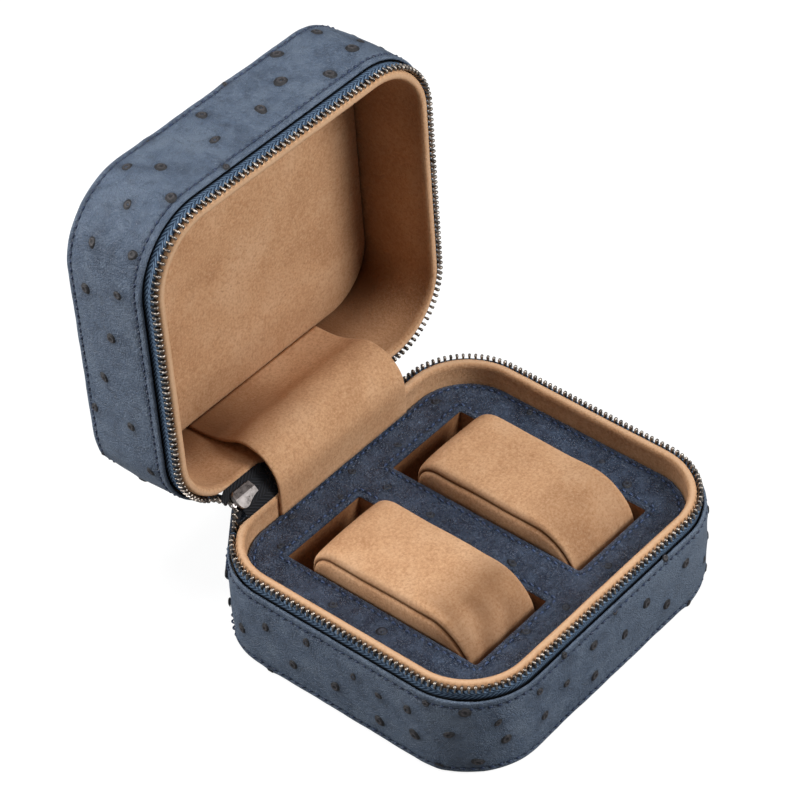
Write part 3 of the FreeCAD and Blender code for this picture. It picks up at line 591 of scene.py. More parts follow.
def weave_group():
    """Zip tape: herringbone rows of yarn, by the run along and across the tape, with painted shadow below a
    height.
    """
    tree, given, made = new_group(
        "tape_weave",
        {"Run": VECTOR, "Yarn": COLOUR, "Gap": COLOUR, "Hidden": FLOAT},
        {"Color": COLOUR, "Height": FLOAT},
    )
    run = add_node(tree, "ShaderNodeSeparateXYZ", given["Run"]).outputs
    zigzag = maths(tree, "PINGPONG", run[1], WEAVE_HALF_WIDTH)
    slant = maths(tree, "ADD", run[0], maths(tree, "MULTIPLY", zigzag, 1.5))
    turn = maths(tree, "MULTIPLY", slant, 2 * math.pi / YARN_PITCH)
    rib = scaled(tree, maths(tree, "SINE", turn), -0.7, 0.5)
    off_middle = maths(tree, "ABSOLUTE", maths(tree, "SUBTRACT", zigzag, WEAVE_HALF_WIDTH / 2))
    column = scaled(tree, off_middle, 1.45, 1.7, 1, 0.6)
    height = maths(tree, "MULTIPLY", rib, column)
    woven = mixed(tree, height, given["Gap"], given["Yarn"])
    # Painted shadow: the tape fades to near black below the shadow height
    depth = maths(tree, "SUBTRACT", run[1], given["Hidden"])
    tree.links.new(mixed(tree, scaled(tree, depth, 0.0, 0.7), LIP_SHADOW, woven), made["Color"])
    tree.links.new(height, made["Height"])
    return tree


def patina_group():
    """Blackened metal rubbed bright: patches of dark coating and fine scratches."""
    tree, given, made = new_group(
        "metal_patina",
        {"Place": VECTOR, "Coating": COLOUR, "Bright": COLOUR},
        {"Color": COLOUR, "Roughness": FLOAT, "Height": FLOAT},
    )
    patches = noise_at(tree, given["Place"], 1.8, 4, 0.6)
    scratches = add_node(tree, "ShaderNodeMapping", given["Place"])
    scratches.inputs["Scale"].default_value = (0.2, 1, 1)
    brushed = noise_at(tree, scratches.outputs[0], 0.16, 2, 0.5)
    share = scaled(tree, maths(tree, "MULTIPLY_ADD", brushed, 0.3, patches), 0.5, 0.8)
    tree.links.new(mixed(tree, share, given["Coating"], given["Bright"]), made["Color"])
    tree.links.new(scaled(tree, patches, 0.3, 0.7, 0.24, 0.42), made["Roughness"])
    tree.links.new(brushed, made["Height"])
    return tree


def new_material(name, **values):
    """A material with its shader. Returns both, the tree, the place on the piece and its notes."""
    material = bpy.data.materials.new(name)
    material.use_nodes = True
    tree = material.node_tree
    shader = tree.nodes["Principled BSDF"]
    for label, value in values.items():
        shader.inputs[label.replace("_", " ")].default_value = value
    place = tree.nodes.new("ShaderNodeTexCoord").outputs["Object"]
    notes = tree.nodes.new("ShaderNodeAttribute")
    notes.attribute_name = "notes"
    return material, tree, shader, place, notes.outputs["Vector"]


def bump(tree, shader, height, depth):
    """Raises the surface by a height, at a depth in millimetres."""
    node = tree.nodes.new("ShaderNodeBump")
    node.inputs["Distance"].default_value = depth * MM
    tree.links.new(height, node.inputs["Height"])
    tree.links.new(node.outputs[0], shader.inputs["Normal"])


# Depths of the fine relief, in millimetres
HIDE_DEPTH = 0.5
INSERT_HIDE_DEPTH = 1.15
NAP_DEPTH = 0.24
WEAVE_DEPTH = 0.25
SCRATCH_DEPTH = 0.003
THREAD_DEPTH = 0.1
QUILL_DEPTH = 0.25
BOARD_DEPTH = 0.1

HIDE = hide_group()
NAP = nap_group()
WEAVE = weave_group()
PATINA = patina_group()


def leather_material(name, deep, dye, worn, fleck, depth, gloss):
    """Dyed hide. gloss takes some roughness away."""
    material, tree, shader, place, notes = new_material(name, Specular_IOR_Level=0.5)
    shade = add_node(tree, "ShaderNodeSeparateXYZ", notes).outputs[2]
    looks = {"Deep": deep, "Dye": dye, "Worn": worn, "Fleck": fleck}
    made = use_group(tree, HIDE, {"Place": place, "Shade": shade, **looks})
    tree.links.new(made["Color"], shader.inputs["Base Color"])
    tree.links.new(maths(tree, "SUBTRACT", made["Roughness"], gloss), shader.inputs["Roughness"])
    bump(tree, shader, made["Height"], depth)
    return material


def suede_material(name, rubbed, pile, brushed, crease):
    """Suede with a soft sheen. Its brushed colour is also its painted highlight, and crease is its painted
    shade colour.
    """
    material, tree, shader, place, notes = new_material(
        name, Roughness=0.95, Specular_IOR_Level=0.1, Sheen_Weight=0.16, Sheen_Roughness=0.45
    )
    shader.inputs["Sheen Tint"].default_value = colour(240, 205, 170)
    shade = add_node(tree, "ShaderNodeSeparateXYZ", notes).outputs[2]
    looks = {"Pile": pile, "Brushed": brushed, "Rubbed": rubbed, "Crease": crease}
    made = use_group(tree, NAP, {"Place": place, "Shade": shade, **looks})
    tree.links.new(made["Color"], shader.inputs["Base Color"])
    bump(tree, shader, made["Height"], NAP_DEPTH)
    return material


def tape_material(name, gap, yarn, shadow_height):
    """Woven tape, darkened to near black as painted shadow up to a height."""
    material, tree, shader, _, notes = new_material(name, Roughness=0.7, Specular_IOR_Level=0.25)
    made = use_group(tree, WEAVE, {"Run": notes, "Yarn": yarn, "Gap": gap, "Hidden": shadow_height})
    tree.links.new(made["Color"], shader.inputs["Base Color"])
    bump(tree, shader, made["Height"], WEAVE_DEPTH)
    return material


def metal_material(name, coating, bright):
    """Coated metal, rubbed bright."""
    material, tree, shader, place, _ = new_material(name, Metallic=1.0)
    made = use_group(tree, PATINA, {"Place": place, "Coating": coating, "Bright": bright})
    tree.links.new(made["Color"], shader.inputs["Base Color"])
    tree.links.new(made["Roughness"], shader.inputs["Roughness"])
    bump(tree, shader, made["Height"], SCRATCH_DEPTH)
    return material


def thread_material(name, dark, pale):
    """Waxed thread, with the twist showing as a fine grain."""
    material, tree, shader, place, _ = new_material(name, Roughness=0.42)
    grain = noise_at(tree, place, 0.5, 2)
    tint = mixed(tree, scaled(tree, grain, 0.35, 0.65), dark, pale)
    tree.links.new(tint, shader.inputs["Base Color"])
    bump(tree, shader, grain, THREAD_DEPTH)
    return material


def quill_material(name, dark, pale):
    """The dark scar of a quill, with a painted highlight on its rim."""
    material, tree, shader, place, notes = new_material(name, Roughness=0.5, Specular_IOR_Level=0.4)
    grain = noise_at(tree, place, 0.6, 3, 0.7)
    share = add_node(tree, "ShaderNodeSeparateXYZ", notes).outputs[0]
    # Painted highlight on the rim, towards the pale colour
    rim = scaled(tree, maths(tree, "ABSOLUTE", maths(tree, "SUBTRACT", share, 0.62)), 0.3, 0.05)
    tint = mixed(tree, maths(tree, "MULTIPLY", rim, scaled(tree, grain, 0.3, 0.65)), dark, pale)
    tree.links.new(tint, shader.inputs["Base Color"])
    bump(tree, shader, grain, QUILL_DEPTH)
    return material


def board_material():
    """Stiff grey-brown board, flecked with pulp."""
    material, tree, shader, place, _ = new_material("grey_board", Roughness=0.85)
    flecks = noise_at(tree, place, 0.8, 4, 0.7)
    tint = mixed(tree, scaled(tree, flecks, 0.35, 0.65), colour(92, 80, 68), colour(138, 124, 108))
    tree.links.new(tint, shader.inputs["Base Color"])
    bump(tree, shader, flecks, BOARD_DEPTH)
    return material


# The height up to which the leather lip hides the tape, and the tape is darkened as painted shadow, in
# millimetres
TAPE_SHADOW_HEIGHT = 1.75
# The near black tape gets no painted shadow by height
NO_TAPE_SHADOW = -100.0

LEATHER = leather_material(
    "blue_hide",
    deep=colour(34, 48, 68),
    dye=colour(84, 100, 122),
    worn=colour(112, 126, 144),
    fleck=colour(138, 151, 166),
    depth=HIDE_DEPTH,
    gloss=0.045,
)
INSERT_LEATHER = leather_material(
    "insert_hide",
    deep=colour(19, 27, 43),
    dye=colour(58, 72, 94),
    worn=colour(86, 104, 130),
    fleck=colour(150, 167, 194),
    depth=INSERT_HIDE_DEPTH,
    gloss=0.17,
)
SUEDE = suede_material(
    "tan_suede",
    rubbed=colour(164, 117, 80),
    pile=colour(204, 159, 120),
    brushed=colour(224, 185, 149),
    crease=colour(104, 68, 42),
)
# A darker copy of the suede, as painted shade in the watch wells
SHADED_WELL_SUEDE = suede_material(
    "well_suede",
    rubbed=colour(96, 60, 36),
    pile=colour(134, 92, 60),
    brushed=colour(160, 118, 84),
    crease=colour(70, 42, 24),
)
QUILL = quill_material("quill_scar", colour(26, 26, 30), colour(88, 84, 86))
INSERT_QUILL = quill_material("insert_quill_scar", colour(12, 16, 24), colour(62, 69, 84))
THREAD = thread_material("stitch_thread", colour(14, 24, 44), colour(38, 58, 94))
INSERT_THREAD = thread_material("insert_thread", colour(26, 42, 74), colour(60, 84, 124))
TAPE = tape_material("blue_zip_tape", colour(44, 62, 86), colour(110, 134, 160), TAPE_SHADOW_HEIGHT)
# Blue tape coloured near black, as painted shadow behind the slider
SHADOWED_TAPE = tape_material("dark_zip_tape", colour(12, 13, 17), colour(30, 32, 38), NO_TAPE_SHADOW)
METAL = metal_material("gunmetal", colour(70, 64, 60), colour(184, 174, 164))
# The slider's nickel, and a darker copy of it as painted shade on its upper facets
SLIDER_METAL = metal_material("slider_nickel", colour(136, 130, 128), colour(164, 158, 156))
SLIDER_SHADED = metal_material("slider_nickel_dull", colour(84, 78, 76), colour(108, 101, 99))
BOARD = board_material()

# Outer leather

# Pixels of the photograph where a quill shows, with its radius in millimetres
QUILL_MARKS_BASE = [
    (243, 628, 1.8), (266, 627, 1.7), (307, 642, 1.7), (294, 664, 1.9), (336, 686, 2.0),
    (354, 676, 1.7), (379, 695, 1.6), (380, 720, 2.0), (271, 670, 1.3), (353, 720, 1.3),
    (408, 709, 1.8), (415, 734, 2.0), (449, 734, 1.8), (440, 764, 1.6), (426, 703, 1.4),
    (465, 712, 1.8), (498, 722, 1.5), (506, 738, 2.0), (478, 761, 2.0), (539, 691, 1.7),
    (544, 715, 1.8), (566, 683, 1.6), (556, 731, 1.5), (564, 655, 1.3), (593, 645, 1.9),
    (594, 675, 1.9), (624, 634, 1.8), (646, 603, 1.9), (666, 604, 1.9), (685, 563, 1.8),
    (703, 559, 1.6), (688, 603, 1.3), (649, 642, 1.2), (617, 672, 1.6), (614, 612, 1.3),
    (665, 558, 1.2),
]
QUILL_MARKS_LID = [
    (202, 116, 2.0), (215, 141, 2.0), (149, 141, 1.0), (127, 168, 1.9), (161, 168, 2.1),
    (128, 205, 1.6), (171, 198, 1.9), (93, 242, 1.9), (133, 255, 1.7), (86, 288, 1.9),
    (118, 295, 1.7), (112, 338, 1.9), (105, 377, 1.7), (96, 407, 1.7), (132, 426, 1.8),
    (105, 453, 1.3), (151, 471, 1.5), (317, 33, 2.0), (352, 49, 2.2), (360, 42, 1.5),
    (277, 55, 2.0), (330, 75, 2.1), (281, 82, 2.3), (225, 85, 1.0), (261, 110, 2.2),
    (226, 167, 1.2),
]
# Quills: how far and how high the leather swells round one, and how they are scattered
QUILL_SPREAD = 2.4
QUILL_REACH = 3.2 * QUILL_SPREAD
QUILL_SHADE = 0.75
QUILL_SWELL = 0.55
QUILL_SEAT_SHARE = 0.75
QUILL_SMALL = 1.35
QUILL_LARGE = 1.95
QUILL_APART = 10.5
SCATTER_TRIES = 9000
# Clear of the lip's seam and of the floor's one
QUILL_BELOW_LIP = 4.5
QUILL_ABOVE_FLOOR = 3.6
# How far off the leather a sight line to the lens starts
SIGHT_START = 0.5

# The skin: its mesh, the crown of the panels, its unevenness and the two seams
SKIN_SPACING = 1.3
PROFILE_SPACING = 1.15
PANEL_ROWS = 40
BASE_PANEL_LIFT = 1.3
LID_PANEL_LIFT = -0.3
FIRM_ROWS = 9
SKIN_SWELLS = [(0.16, 17, 3), (0.09, 6, 8), (0.04, 2.4, 5)]
LIP_SEAM_INSET = 0.3
LIP_SEAM_DROP = 2.6
FLOOR_SEAM_INSET = 0.28
FLOOR_SEAM_RISE = 2.1

# Behind the hanging pull, left of here, the leather is pressed in
PULL_RIGHT = -26.0
PULL_DENT = 0.55
PULL_EASE = 6
# Painted highlight: the front wall is paler from here to the right
FRONT_HIGHLIGHT = 0.6
FRONT_HIGHLIGHT_FROM = -20
FRONT_HIGHLIGHT_REACH = 60


def shell_profile(floor):
    """Inset, height, share of the way out and shade, from inside the lip down to the middle of the panel."""
    drop = BASE_LIP - floor
    # Inset, height off the lip and shade: the turned lip, its groove of stitches and the wall's start. The
    # shade paints shade inside the lip and in the groove, and highlight on the lip's top where it is below
    # zero
    lip = [
        (1.25, -1.8, 1.0),
        (1.2, -0.6, 0.7),
        (1.0, -0.14, 0.1),
        (0.7, 0.0, -0.7),
        (0.3, -0.12, -0.6),
        (0.05, -0.5, 0.0),
        (0.0, -1.1, 0.0),
        (0.04, -1.9, 0.1),
        (0.2, -2.3, 0.35),
        (0.44, -2.6, 0.9),
        (0.2, -2.9, 0.35),
        (0.0, -3.4, 0.1),
        (-0.12, -4.4, 0.0),
        (-0.35, -10.0, 0.0),
        (-0.42, -drop / 2, 0.0),
    ]
    # Inset, height off the floor and shade: the wall's end, its groove and the rounded edge. The shade paints
    # shade in the groove and highlight on the rounded edge where it is below zero
    edge = [
        (-0.3, 8.0, 0.0),
        (-0.02, 3.4, 0.0),
        (0.04, 2.75, 0.1),
        (0.2, 2.4, 0.35),
        (0.42, 2.1, 0.9),
        (0.2, 1.8, 0.35),
        (0.06, 1.4, 0.0),
        (0.04, 1.0, -0.2),
        (0.2, 0.45, -0.4),
        (0.6, 0.1, -0.3),
        (1.2, 0.0, 0.0),
        (2.6, 0.0, 0.0),
    ]
    line = lip + [(inset, height - drop, shade) for inset, height, shade in edge]
    rows = []
    for inset, height, shade in smooth_line(line, PROFILE_SPACING):
        rows.append((inset, BASE_LIP + height, 1.0, shade))
    inner = rows[-1][0]
    lift = BASE_PANEL_LIFT if floor == 0 else LID_PANEL_LIFT
    for step in range(1, PANEL_ROWS):
        rows.append((inner, floor + lift * min(1.0, step / 2), 1.0 - step / PANEL_ROWS, 0.0))
    return rows


def shell_surface(rows, stations):
    """Smooth points of the leather skin and their directions, station by station."""
    points = []
    outs = []
    for core, out, _ in stations:
        line = []
        for inset, height, share, _ in rows:
            spot = rim_point(core, out, inset, height)
            line.append(Vector((spot.x * share, spot.y * share, height)))
        side = Vector((-out.y, out.x, 0))
        for row in range(len(line)):
            before = line[max(row - 1, 0)]
            after = line[min(row + 1, len(line) - 1)]
            outs.append(side.cross(after - before).normalized() * -1)
        points.extend(line)
    return points, outs


class Skin:
    """The leather of one half: rows of points down the wall, at every station round the outline."""

    def __init__(self, half):
        self.half = half
        self.rows = shell_profile(half.floor)
        stations = rim_stations(SKIN_SPACING)
        self.points, self.outs = shell_surface(self.rows, stations)
        self.faces = grid_faces(len(stations), len(self.rows), closed_rows=True)
        self.faces.append(cap_face(len(stations), len(self.rows), len(self.rows) - 1))
        self.search = search_tree(self.points)
        self.wall = BVHTree.FromPolygons([half.matrix @ point for point in self.points], self.faces)

    def quill_chance(self, number):
        """How likely a point takes a quill: never by the seams, and less towards a panel's middle."""
        _, height, share, _ = self.rows[number % len(self.rows)]
        on_wall = BASE_LIP - QUILL_BELOW_LIP > height > self.half.floor + QUILL_ABOVE_FLOOR
        return min(1.0, 1.5 * share) if on_wall or share < 0.96 else 0.0


def scatter_quills(skin, marks, walls):
    """Quills where the photograph shows them, and scattered ones on the faces that it doesn't show."""
    half = skin.half
    back = half.matrix.inverted()
    turn = half.matrix.to_3x3()
    dice = random.Random(half.name + " scatter")
    quills = []
    for across, down, radius in marks:
        hit = skin.wall.ray_cast(VIEW_POINT, pixel_ray(across, down))[0]
        if hit:
            nearest = skin.search.find(back @ hit)[1]
            quills.append((back @ hit, skin.outs[nearest], radius))
    for _ in range(SCATTER_TRIES):
        number = dice.randrange(len(skin.points))
        point = skin.points[number]
        out = skin.outs[number]
        if dice.random() > skin.quill_chance(number):
            continue
        if half is BASE and point.y > HALF_DEPTH - 2 and point.x < PULL_RIGHT:
            continue
        if any((point - other[0]).length < QUILL_APART for other in quills):
            continue
        shown = half.matrix @ point
        shown_out = turn @ out
        start = shown + shown_out * SIGHT_START
        to_lens = (VIEW_POINT - start).normalized()
        faces_lens = (VIEW_POINT - shown).dot(shown_out) > 0
        if faces_lens and not any(wall.ray_cast(start, to_lens)[0] for wall in walls):
            continue
        quills.append((point, out, dice.uniform(QUILL_SMALL, QUILL_LARGE)))
    return quills


def leather_shell(skin, quills):
    """The leather of one half, with quills and two stitched seams. Its shade paints shade inside the lip, in
    the seams' grooves and round the quills, and highlight on the rounded lip and edge and on the base's front
    wall.
    """
    half = skin.half
    near = search_tree([middle for middle, _, _ in quills])
    points = []
    notes = []
    for number, (point, out) in enumerate(zip(skin.points, skin.outs)):
        row = number % len(skin.rows)
        _, _, share, shade = skin.rows[row]
        loose = 0.0 if row < FIRM_ROWS else 1.0
        rise = loose * uneven(point, SKIN_SWELLS)
        if half is BASE and out.y > 0.5:
            rise -= PULL_DENT * held((PULL_RIGHT - point.x) / PULL_EASE)
        for _, which, distance in near.find_range(point, QUILL_REACH):
            swell = bell(distance, QUILL_SPREAD)
            rise += loose * QUILL_SWELL * quills[which][2] / QUILL_RADIUS * swell
            shade += QUILL_SHADE * swell
        # Painted highlight on the base's front wall, growing to the right
        if half is BASE and share == 1.0:
            shade -= FRONT_HIGHLIGHT * max(0.0, -out.y) * held((point.x - FRONT_HIGHLIGHT_FROM) / FRONT_HIGHLIGHT_REACH)
        points.append(point + out * rise)
        notes.append((0.0, 0.0, held(shade, -1.0)))
    piece = Piece(half.name + "_leather", half)
    piece.add(points, skin.faces, 0, notes)
    dice = random.Random(half.name + " quills")
    for middle, out, radius in quills:
        seat = middle + out * QUILL_SWELL * QUILL_SEAT_SHARE * radius / QUILL_RADIUS
        add_quill(piece, seat, out, radius, 1, dice)
    add_rim_stitches(piece, LIP_SEAM_INSET, BASE_LIP - LIP_SEAM_DROP, 2)
    add_rim_stitches(piece, FLOOR_SEAM_INSET, half.floor + FLOOR_SEAM_RISE, 2)
    if half is BASE:
        for point in piece.points:
            point.z = max(point.z, 0.0)
    replaced = [node for node in frame["nodes"] if node.startswith(half.name + "_leather")]
    piece.build(half.name, [LEATHER, QUILL, THREAD], replaced)


def add_rim_stitches(piece, inset, height, finish):
    """A row of stitches all round the wall."""
    count = round(rim_length(inset) / STITCH_PITCH)
    for number in range(count):
        core, out = rim_at(inset, (number + 0.5) * rim_length(inset) / count)
        add_thread(piece, rim_point(core, out, inset, height), *rim_directions(out), finish)


def outer_leather():
    skins = [Skin(BASE), Skin(LID)]
    walls = [skin.wall for skin in skins]
    for skin, marks in zip(skins, (QUILL_MARKS_BASE, QUILL_MARKS_LID)):
        leather_shell(skin, scatter_quills(skin, marks, walls))


# Zip

SHEET_SPACING = 1.3
# A tooth's sections: height along it, half its depth and half its width
TOOTH_SECTIONS = [
    (-2.0, 0.86, 0.26),
    (-1.85, 1.0, 0.34),
    (-1.4, 1.0, 0.36),
    (-1.0, 0.88, 0.34),
    (-0.6, 0.82, 0.4),
    (-0.15, 0.78, 0.52),
    (0.2, 0.6, 0.44),
    (0.35, 0.34, 0.22),
]
TOOTH_SQUARENESS = 0.6
METAL_SHARP = 50
# The cord on the tape's edge: how far it stands out on each side, and its height off the tape's top
CORD_PROFILE = [(0.0, -1.5), (0.02, -0.9), (0.3, -0.5), (0.3, 0.15), (-0.1, 0.4)]


def chain_ends():
    """Distances along the chain's line of its two ends, from the middle of the back."""
    radius = CORNER - CHAIN_INSET
    turn = math.asin((CHAIN_LEFT - CORE_X) / radius)
    return CHAIN_RIGHT, rim_length(CHAIN_INSET) - CORE_X - radius * turn


def squared(value):
    """A cosine or sine pushed outwards, which turns a circle into a rounded square."""
    return math.copysign(abs(value) ** TOOTH_SQUARENESS, value)


def add_tooth(piece, middle, along, out, up):
    """One tooth: two legs pinched on the tape's cord, a waist and a rounded head."""
    sides = 10
    points = []
    for height, deep, wide in TOOTH_SECTIONS:
        for corner in range(sides):
            angle = 2 * math.pi * (corner + 0.5) / sides
            x = squared(math.cos(angle)) * deep
            y = squared(math.sin(angle)) * wide
            points.append(middle + out * x + along * y + up * height)
    faces = capped_tube(len(TOOTH_SECTIONS), sides)
    if along.cross(out).dot(up) > 0:
        faces = flipped(faces)
    piece.add(points, faces)


def zip_teeth(half, offset):
    """The chain of one half, set off by a share of the pitch so that the two mesh."""
    first, last = chain_ends()
    teeth = Piece(half.name + "_teeth", half)
    for number in range(int((last - first - STOP_LENGTH) / TOOTH_PITCH)):
        core, out = rim_at(CHAIN_INSET, first + STOP_LENGTH + (number + offset) * TOOTH_PITCH)
        middle = rim_point(core, out, CHAIN_INSET, HINGE_POINT.z)
        add_tooth(teeth, middle, *rim_directions(out), UP)
    teeth.build(half.name, [METAL], [half.name + "_zip_teeth"], sharp=METAL_SHARP)


def zip_tape(half):
    """The tape of one half, which stands in the leather lip and carries the chain on its corded edge."""
    low = TAPE_LOW.z
    top = TAPE_HIGH.z
    inner = TAPE_INSET + TAPE_THICK
    outside = [(TAPE_INSET - out, top + height) for out, height in CORD_PROFILE]
    inside = [(inner + out, top + height) for out, height in reversed(CORD_PROFILE)]
    profile = [(TAPE_INSET, low), *outside, *inside, (inner, low)]
    stations = rim_stations(SHEET_SPACING, CHAIN_INSET, *chain_ends())
    points = []
    notes = []
    for core, out, run in stations:
        for inset, height in profile:
            points.append(rim_point(core, out, inset, height))
            notes.append((run, height - low, 0.0))
    tape = Piece(half.name + "_tape", half)
    tape.add(points, flipped(capped_tube(len(stations), len(profile))), 0, notes)
    tape.build(half.name, [TAPE], [half.name + "_zip_tape"])


SLIDER_BITE = 1.0
STEPS_PER_TOOTH = 4
# How much of the tape's width is left where a lead starts, and what it loses on its way to the slider
LEAD_WIDTH_SHARE = 0.62
LEAD_LOSS_SHARE = 0.34
LEAD_OVERLAP = 0.4


def zip_lead(half):
    """The stretch of teeth and tape that swings from the end of a chain into the slider's mouth."""
    last = chain_ends()[1]
    core, out = rim_at(CHAIN_INSET, last)
    start = rim_point(core, out, CHAIN_INSET, HINGE_POINT.z)
    start_along, start_out = rim_directions(out)
    mouth_x = box_mm("slider_body")[0].x + SLIDER_BITE
    end = HALF_OPEN @ Vector((mouth_x, HALF_DEPTH - CHAIN_INSET, HINGE_POINT.z))
    end_out = HALF_OPEN.to_3x3() @ BACKWARDS
    end_up = HALF_OPEN.to_3x3() @ UP
    reach = (end - start).length
    count = STEPS_PER_TOOTH * round(reach / TOOTH_PITCH) + 1
    handles = (start + start_along * reach / 3, end - ACROSS * reach / 3)
    middles = geometry.interpolate_bezier(start, *handles, end, count)
    teeth = Piece(half.name + "_lead", half)
    tape = Piece(half.name + "_lead_tape", half)
    width = TAPE_HIGH.z - TAPE_LOW.z
    gap = HINGE_POINT.z - TAPE_HIGH.z
    points = []
    notes = []
    for step, middle in enumerate(middles):
        t = step / (len(middles) - 1)
        along = start_along.lerp(ACROSS, t).normalized()
        out = start_out.lerp(end_out, t).normalized()
        out = (out - along * out.dot(along)).normalized()
        up = UP.lerp(end_up, t).normalized()
        up = (up - along * up.dot(along) - out * up.dot(out)).normalized()
        if step % STEPS_PER_TOOTH == 1:
            add_tooth(teeth, middle, along, out, up)
        near = gap - LEAD_OVERLAP
        far = gap + width * (LEAD_WIDTH_SHARE - LEAD_LOSS_SHARE * t)
        for side, down in ((1, near), (1, far), (-1, far), (-1, near)):
            points.append(middle + out * (side * TAPE_THICK / 2) - up * down)
            notes.append((last + t * reach, down, 0.0))
    tape.add(points, flipped(capped_tube(len(middles), 4)), 0, notes)
    # The lead's tape takes the near black tape, as painted shadow
    leads = [
        teeth.build(None, [METAL], sharp=METAL_SHARP),
        tape.build(None, [SHADOWED_TAPE]),
    ]
    for lead in leads:
        if half is BASE:
            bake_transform(lead)
        else:
            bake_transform(lead)


# Suede

LINING_SPACING = 1.6
LINING_SWELL = 0.12
LINING_CLOUDS = 0.12
# The slider's path about the hinge line, and how far beside the slider the lining makes room for it
SLIDER_SWEEP = 8.1
ROOM_LEFT = 5.2
ROOM_RIGHT = 3.8
ROOM_EASE = 3
# Shade inside the lid: on its right wall, and on the wall by the hinge, where it deepens below a depth
RIGHT_WALL_SHADE = 0.34
HINGE_WALL_SHADE = 0.2
HINGE_FOOT_SHADE = 0.5
SHADE_START = 9.0
SHADE_REACH = 14.0


def lining_wall(half):
    """The suede-covered wall: an upright band with a rolled rim, hollowed where the slider swings."""
    outer = LINING_INSET
    inner = LINING_INSET + LINING_THICK
    top = LINING_HIGH.z
    low = LINING_LOW.z + half.floor
    middle = (outer + inner) / 2
    # Inset, height and shade, up the hidden side, over the rim and down the side that shows. The shade paints
    # highlight on the rim's top where it is below zero, and shade low on the side that shows
    profile = [
        (outer, low, 0.0),
        (outer, top - 8, 0.0),
        (outer, top - 3, 0.0),
        (outer + 0.02, top - 1.2, 0.0),
        (outer + 0.35, top - 0.3, 0.0),
        (outer + 0.9, top, -0.5),
        (middle, top, -0.8),
        (inner - 0.9, top, -0.5),
        (inner - 0.3, top - 0.3, 0.0),
        (inner + 0.04, top - 1.2, 0.0),
        (inner + 0.06, top - 2.4, 0.15),
        (inner, top - 3.6, 0.1),
        (inner, top - 12, 0.0),
        (inner, low, 0.3),
    ]
    rows = smooth_line(profile, LINING_SPACING)
    stations = rim_stations(LINING_SPACING)
    slider_low, slider_high = box_mm("slider_body")
    points = []
    notes = []
    for core, out, run in stations:
        for inset, height, shade in rows:
            point = rim_point(core, out, inset, height)
            point += Vector((out.x, out.y, 0)) * LINING_SWELL * rough(point, 14, 21)
            points.append(clear_of_slider(point, slider_low.x - ROOM_LEFT, slider_high.x + ROOM_RIGHT))
            if half is LID and inset > middle:
                depth = held((top - SHADE_START - height) / SHADE_REACH)
                shade += RIGHT_WALL_SHADE * max(0.0, out.x)
                shade += (HINGE_WALL_SHADE + HINGE_FOOT_SHADE * depth) * max(0.0, out.y)
            notes.append((run, 0.0, shade + LINING_CLOUDS * rough(point, 20, 4)))
    faces = grid_faces(len(stations), len(rows), closed_rows=True, closed_columns=True)
    piece = Piece(half.name + "_lining", half)
    piece.add(points, flipped(faces), 0, notes)
    made = piece.build(half.name, [SUEDE], [half.name + "_lining_wall"])


def clear_of_slider(point, low, high):
    """Presses the lining back from the round path that the slider takes about the hinge line."""
    if not low - ROOM_EASE < point.x < high + ROOM_EASE:
        return point
    arm = Vector((0, point.y - HINGE_POINT.y, point.z - HINGE_POINT.z))
    if arm.length >= SLIDER_SWEEP:
        return point
    ease = min(1.0, (point.x - low + ROOM_EASE) / ROOM_EASE, (high + ROOM_EASE - point.x) / ROOM_EASE)
    pressed = Vector((point.x, HINGE_POINT.y, HINGE_POINT.z)) + arm.normalized() * SLIDER_SWEEP
    return point.lerp(pressed, ease)


PAD_SPACING = 2.0
PAD_ROWS = 34
PAD_ROUND = 1.8
PAD_CROWN = 0.35
PAD_FIRM_DEPTH = 0.5
PAD_SWELLS = [(0.16, 24, 12), (0.06, 8, 2)]
# Painted shade darkens the pad towards the right and the hinge, from here out
PAD_SHADE = 0.4
PAD_SHADE_START = 34.0
PAD_SHADE_REACH = 26.0


def lid_pad():
    """The padded suede panel in the lid's floor."""
    top = LID_PAD_TOP + 0.05
    # Inset, height, share of the way out and shade, up the side and round the edge
    rows = [
        (INSERT_INSET + 0.4, LID_PAD_LOW, 1.0, 0.5),
        (INSERT_INSET + 0.05, LID_PAD_LOW + 0.8, 1.0, 0.5),
        (INSERT_INSET, LID_PAD_TOP - 1.6, 1.0, 0.3),
        (INSERT_INSET + 0.25, LID_PAD_TOP - 0.7, 1.0, 0.1),
        (INSERT_INSET + 0.9, LID_PAD_TOP - 0.15, 1.0, 0.0),
        (INSERT_INSET + PAD_ROUND, top, 1.0, 0.0),
    ]
    for step in range(1, PAD_ROWS + 1):
        crown = PAD_CROWN * math.sin(step / PAD_ROWS * math.pi / 2)
        rows.append((INSERT_INSET + PAD_ROUND, top + crown, 1 - step / (PAD_ROWS + 0.5), 0.0))
    stations = rim_stations(PAD_SPACING)
    points = []
    notes = []
    for core, out, run in stations:
        for inset, height, share, shade in rows:
            spot = rim_point(core, out, inset, height)
            point = Vector((spot.x * share, spot.y * share, height))
            if height > LID_PAD_TOP - PAD_FIRM_DEPTH:
                point.z += uneven(point, PAD_SWELLS)
            points.append(point)
            shade_right = max(0.0, (point.x - PAD_SHADE_START) / PAD_SHADE_REACH)
            shade_back = max(0.0, (point.y - PAD_SHADE_START) / PAD_SHADE_REACH)
            notes.append((run, 0.0, shade + PAD_SHADE * (shade_right + shade_back)))
    faces = grid_faces(len(stations), len(rows), closed_rows=True)
    faces.append(cap_face(len(stations), len(rows), len(rows) - 1))
    faces.append(cap_face(len(stations), len(rows), 0)[::-1])
    piece = Piece("lid_pad", LID)
    piece.add(points, faces, 0, notes)
    made = piece.build("lid", [SUEDE], ["lid_lining_top"])


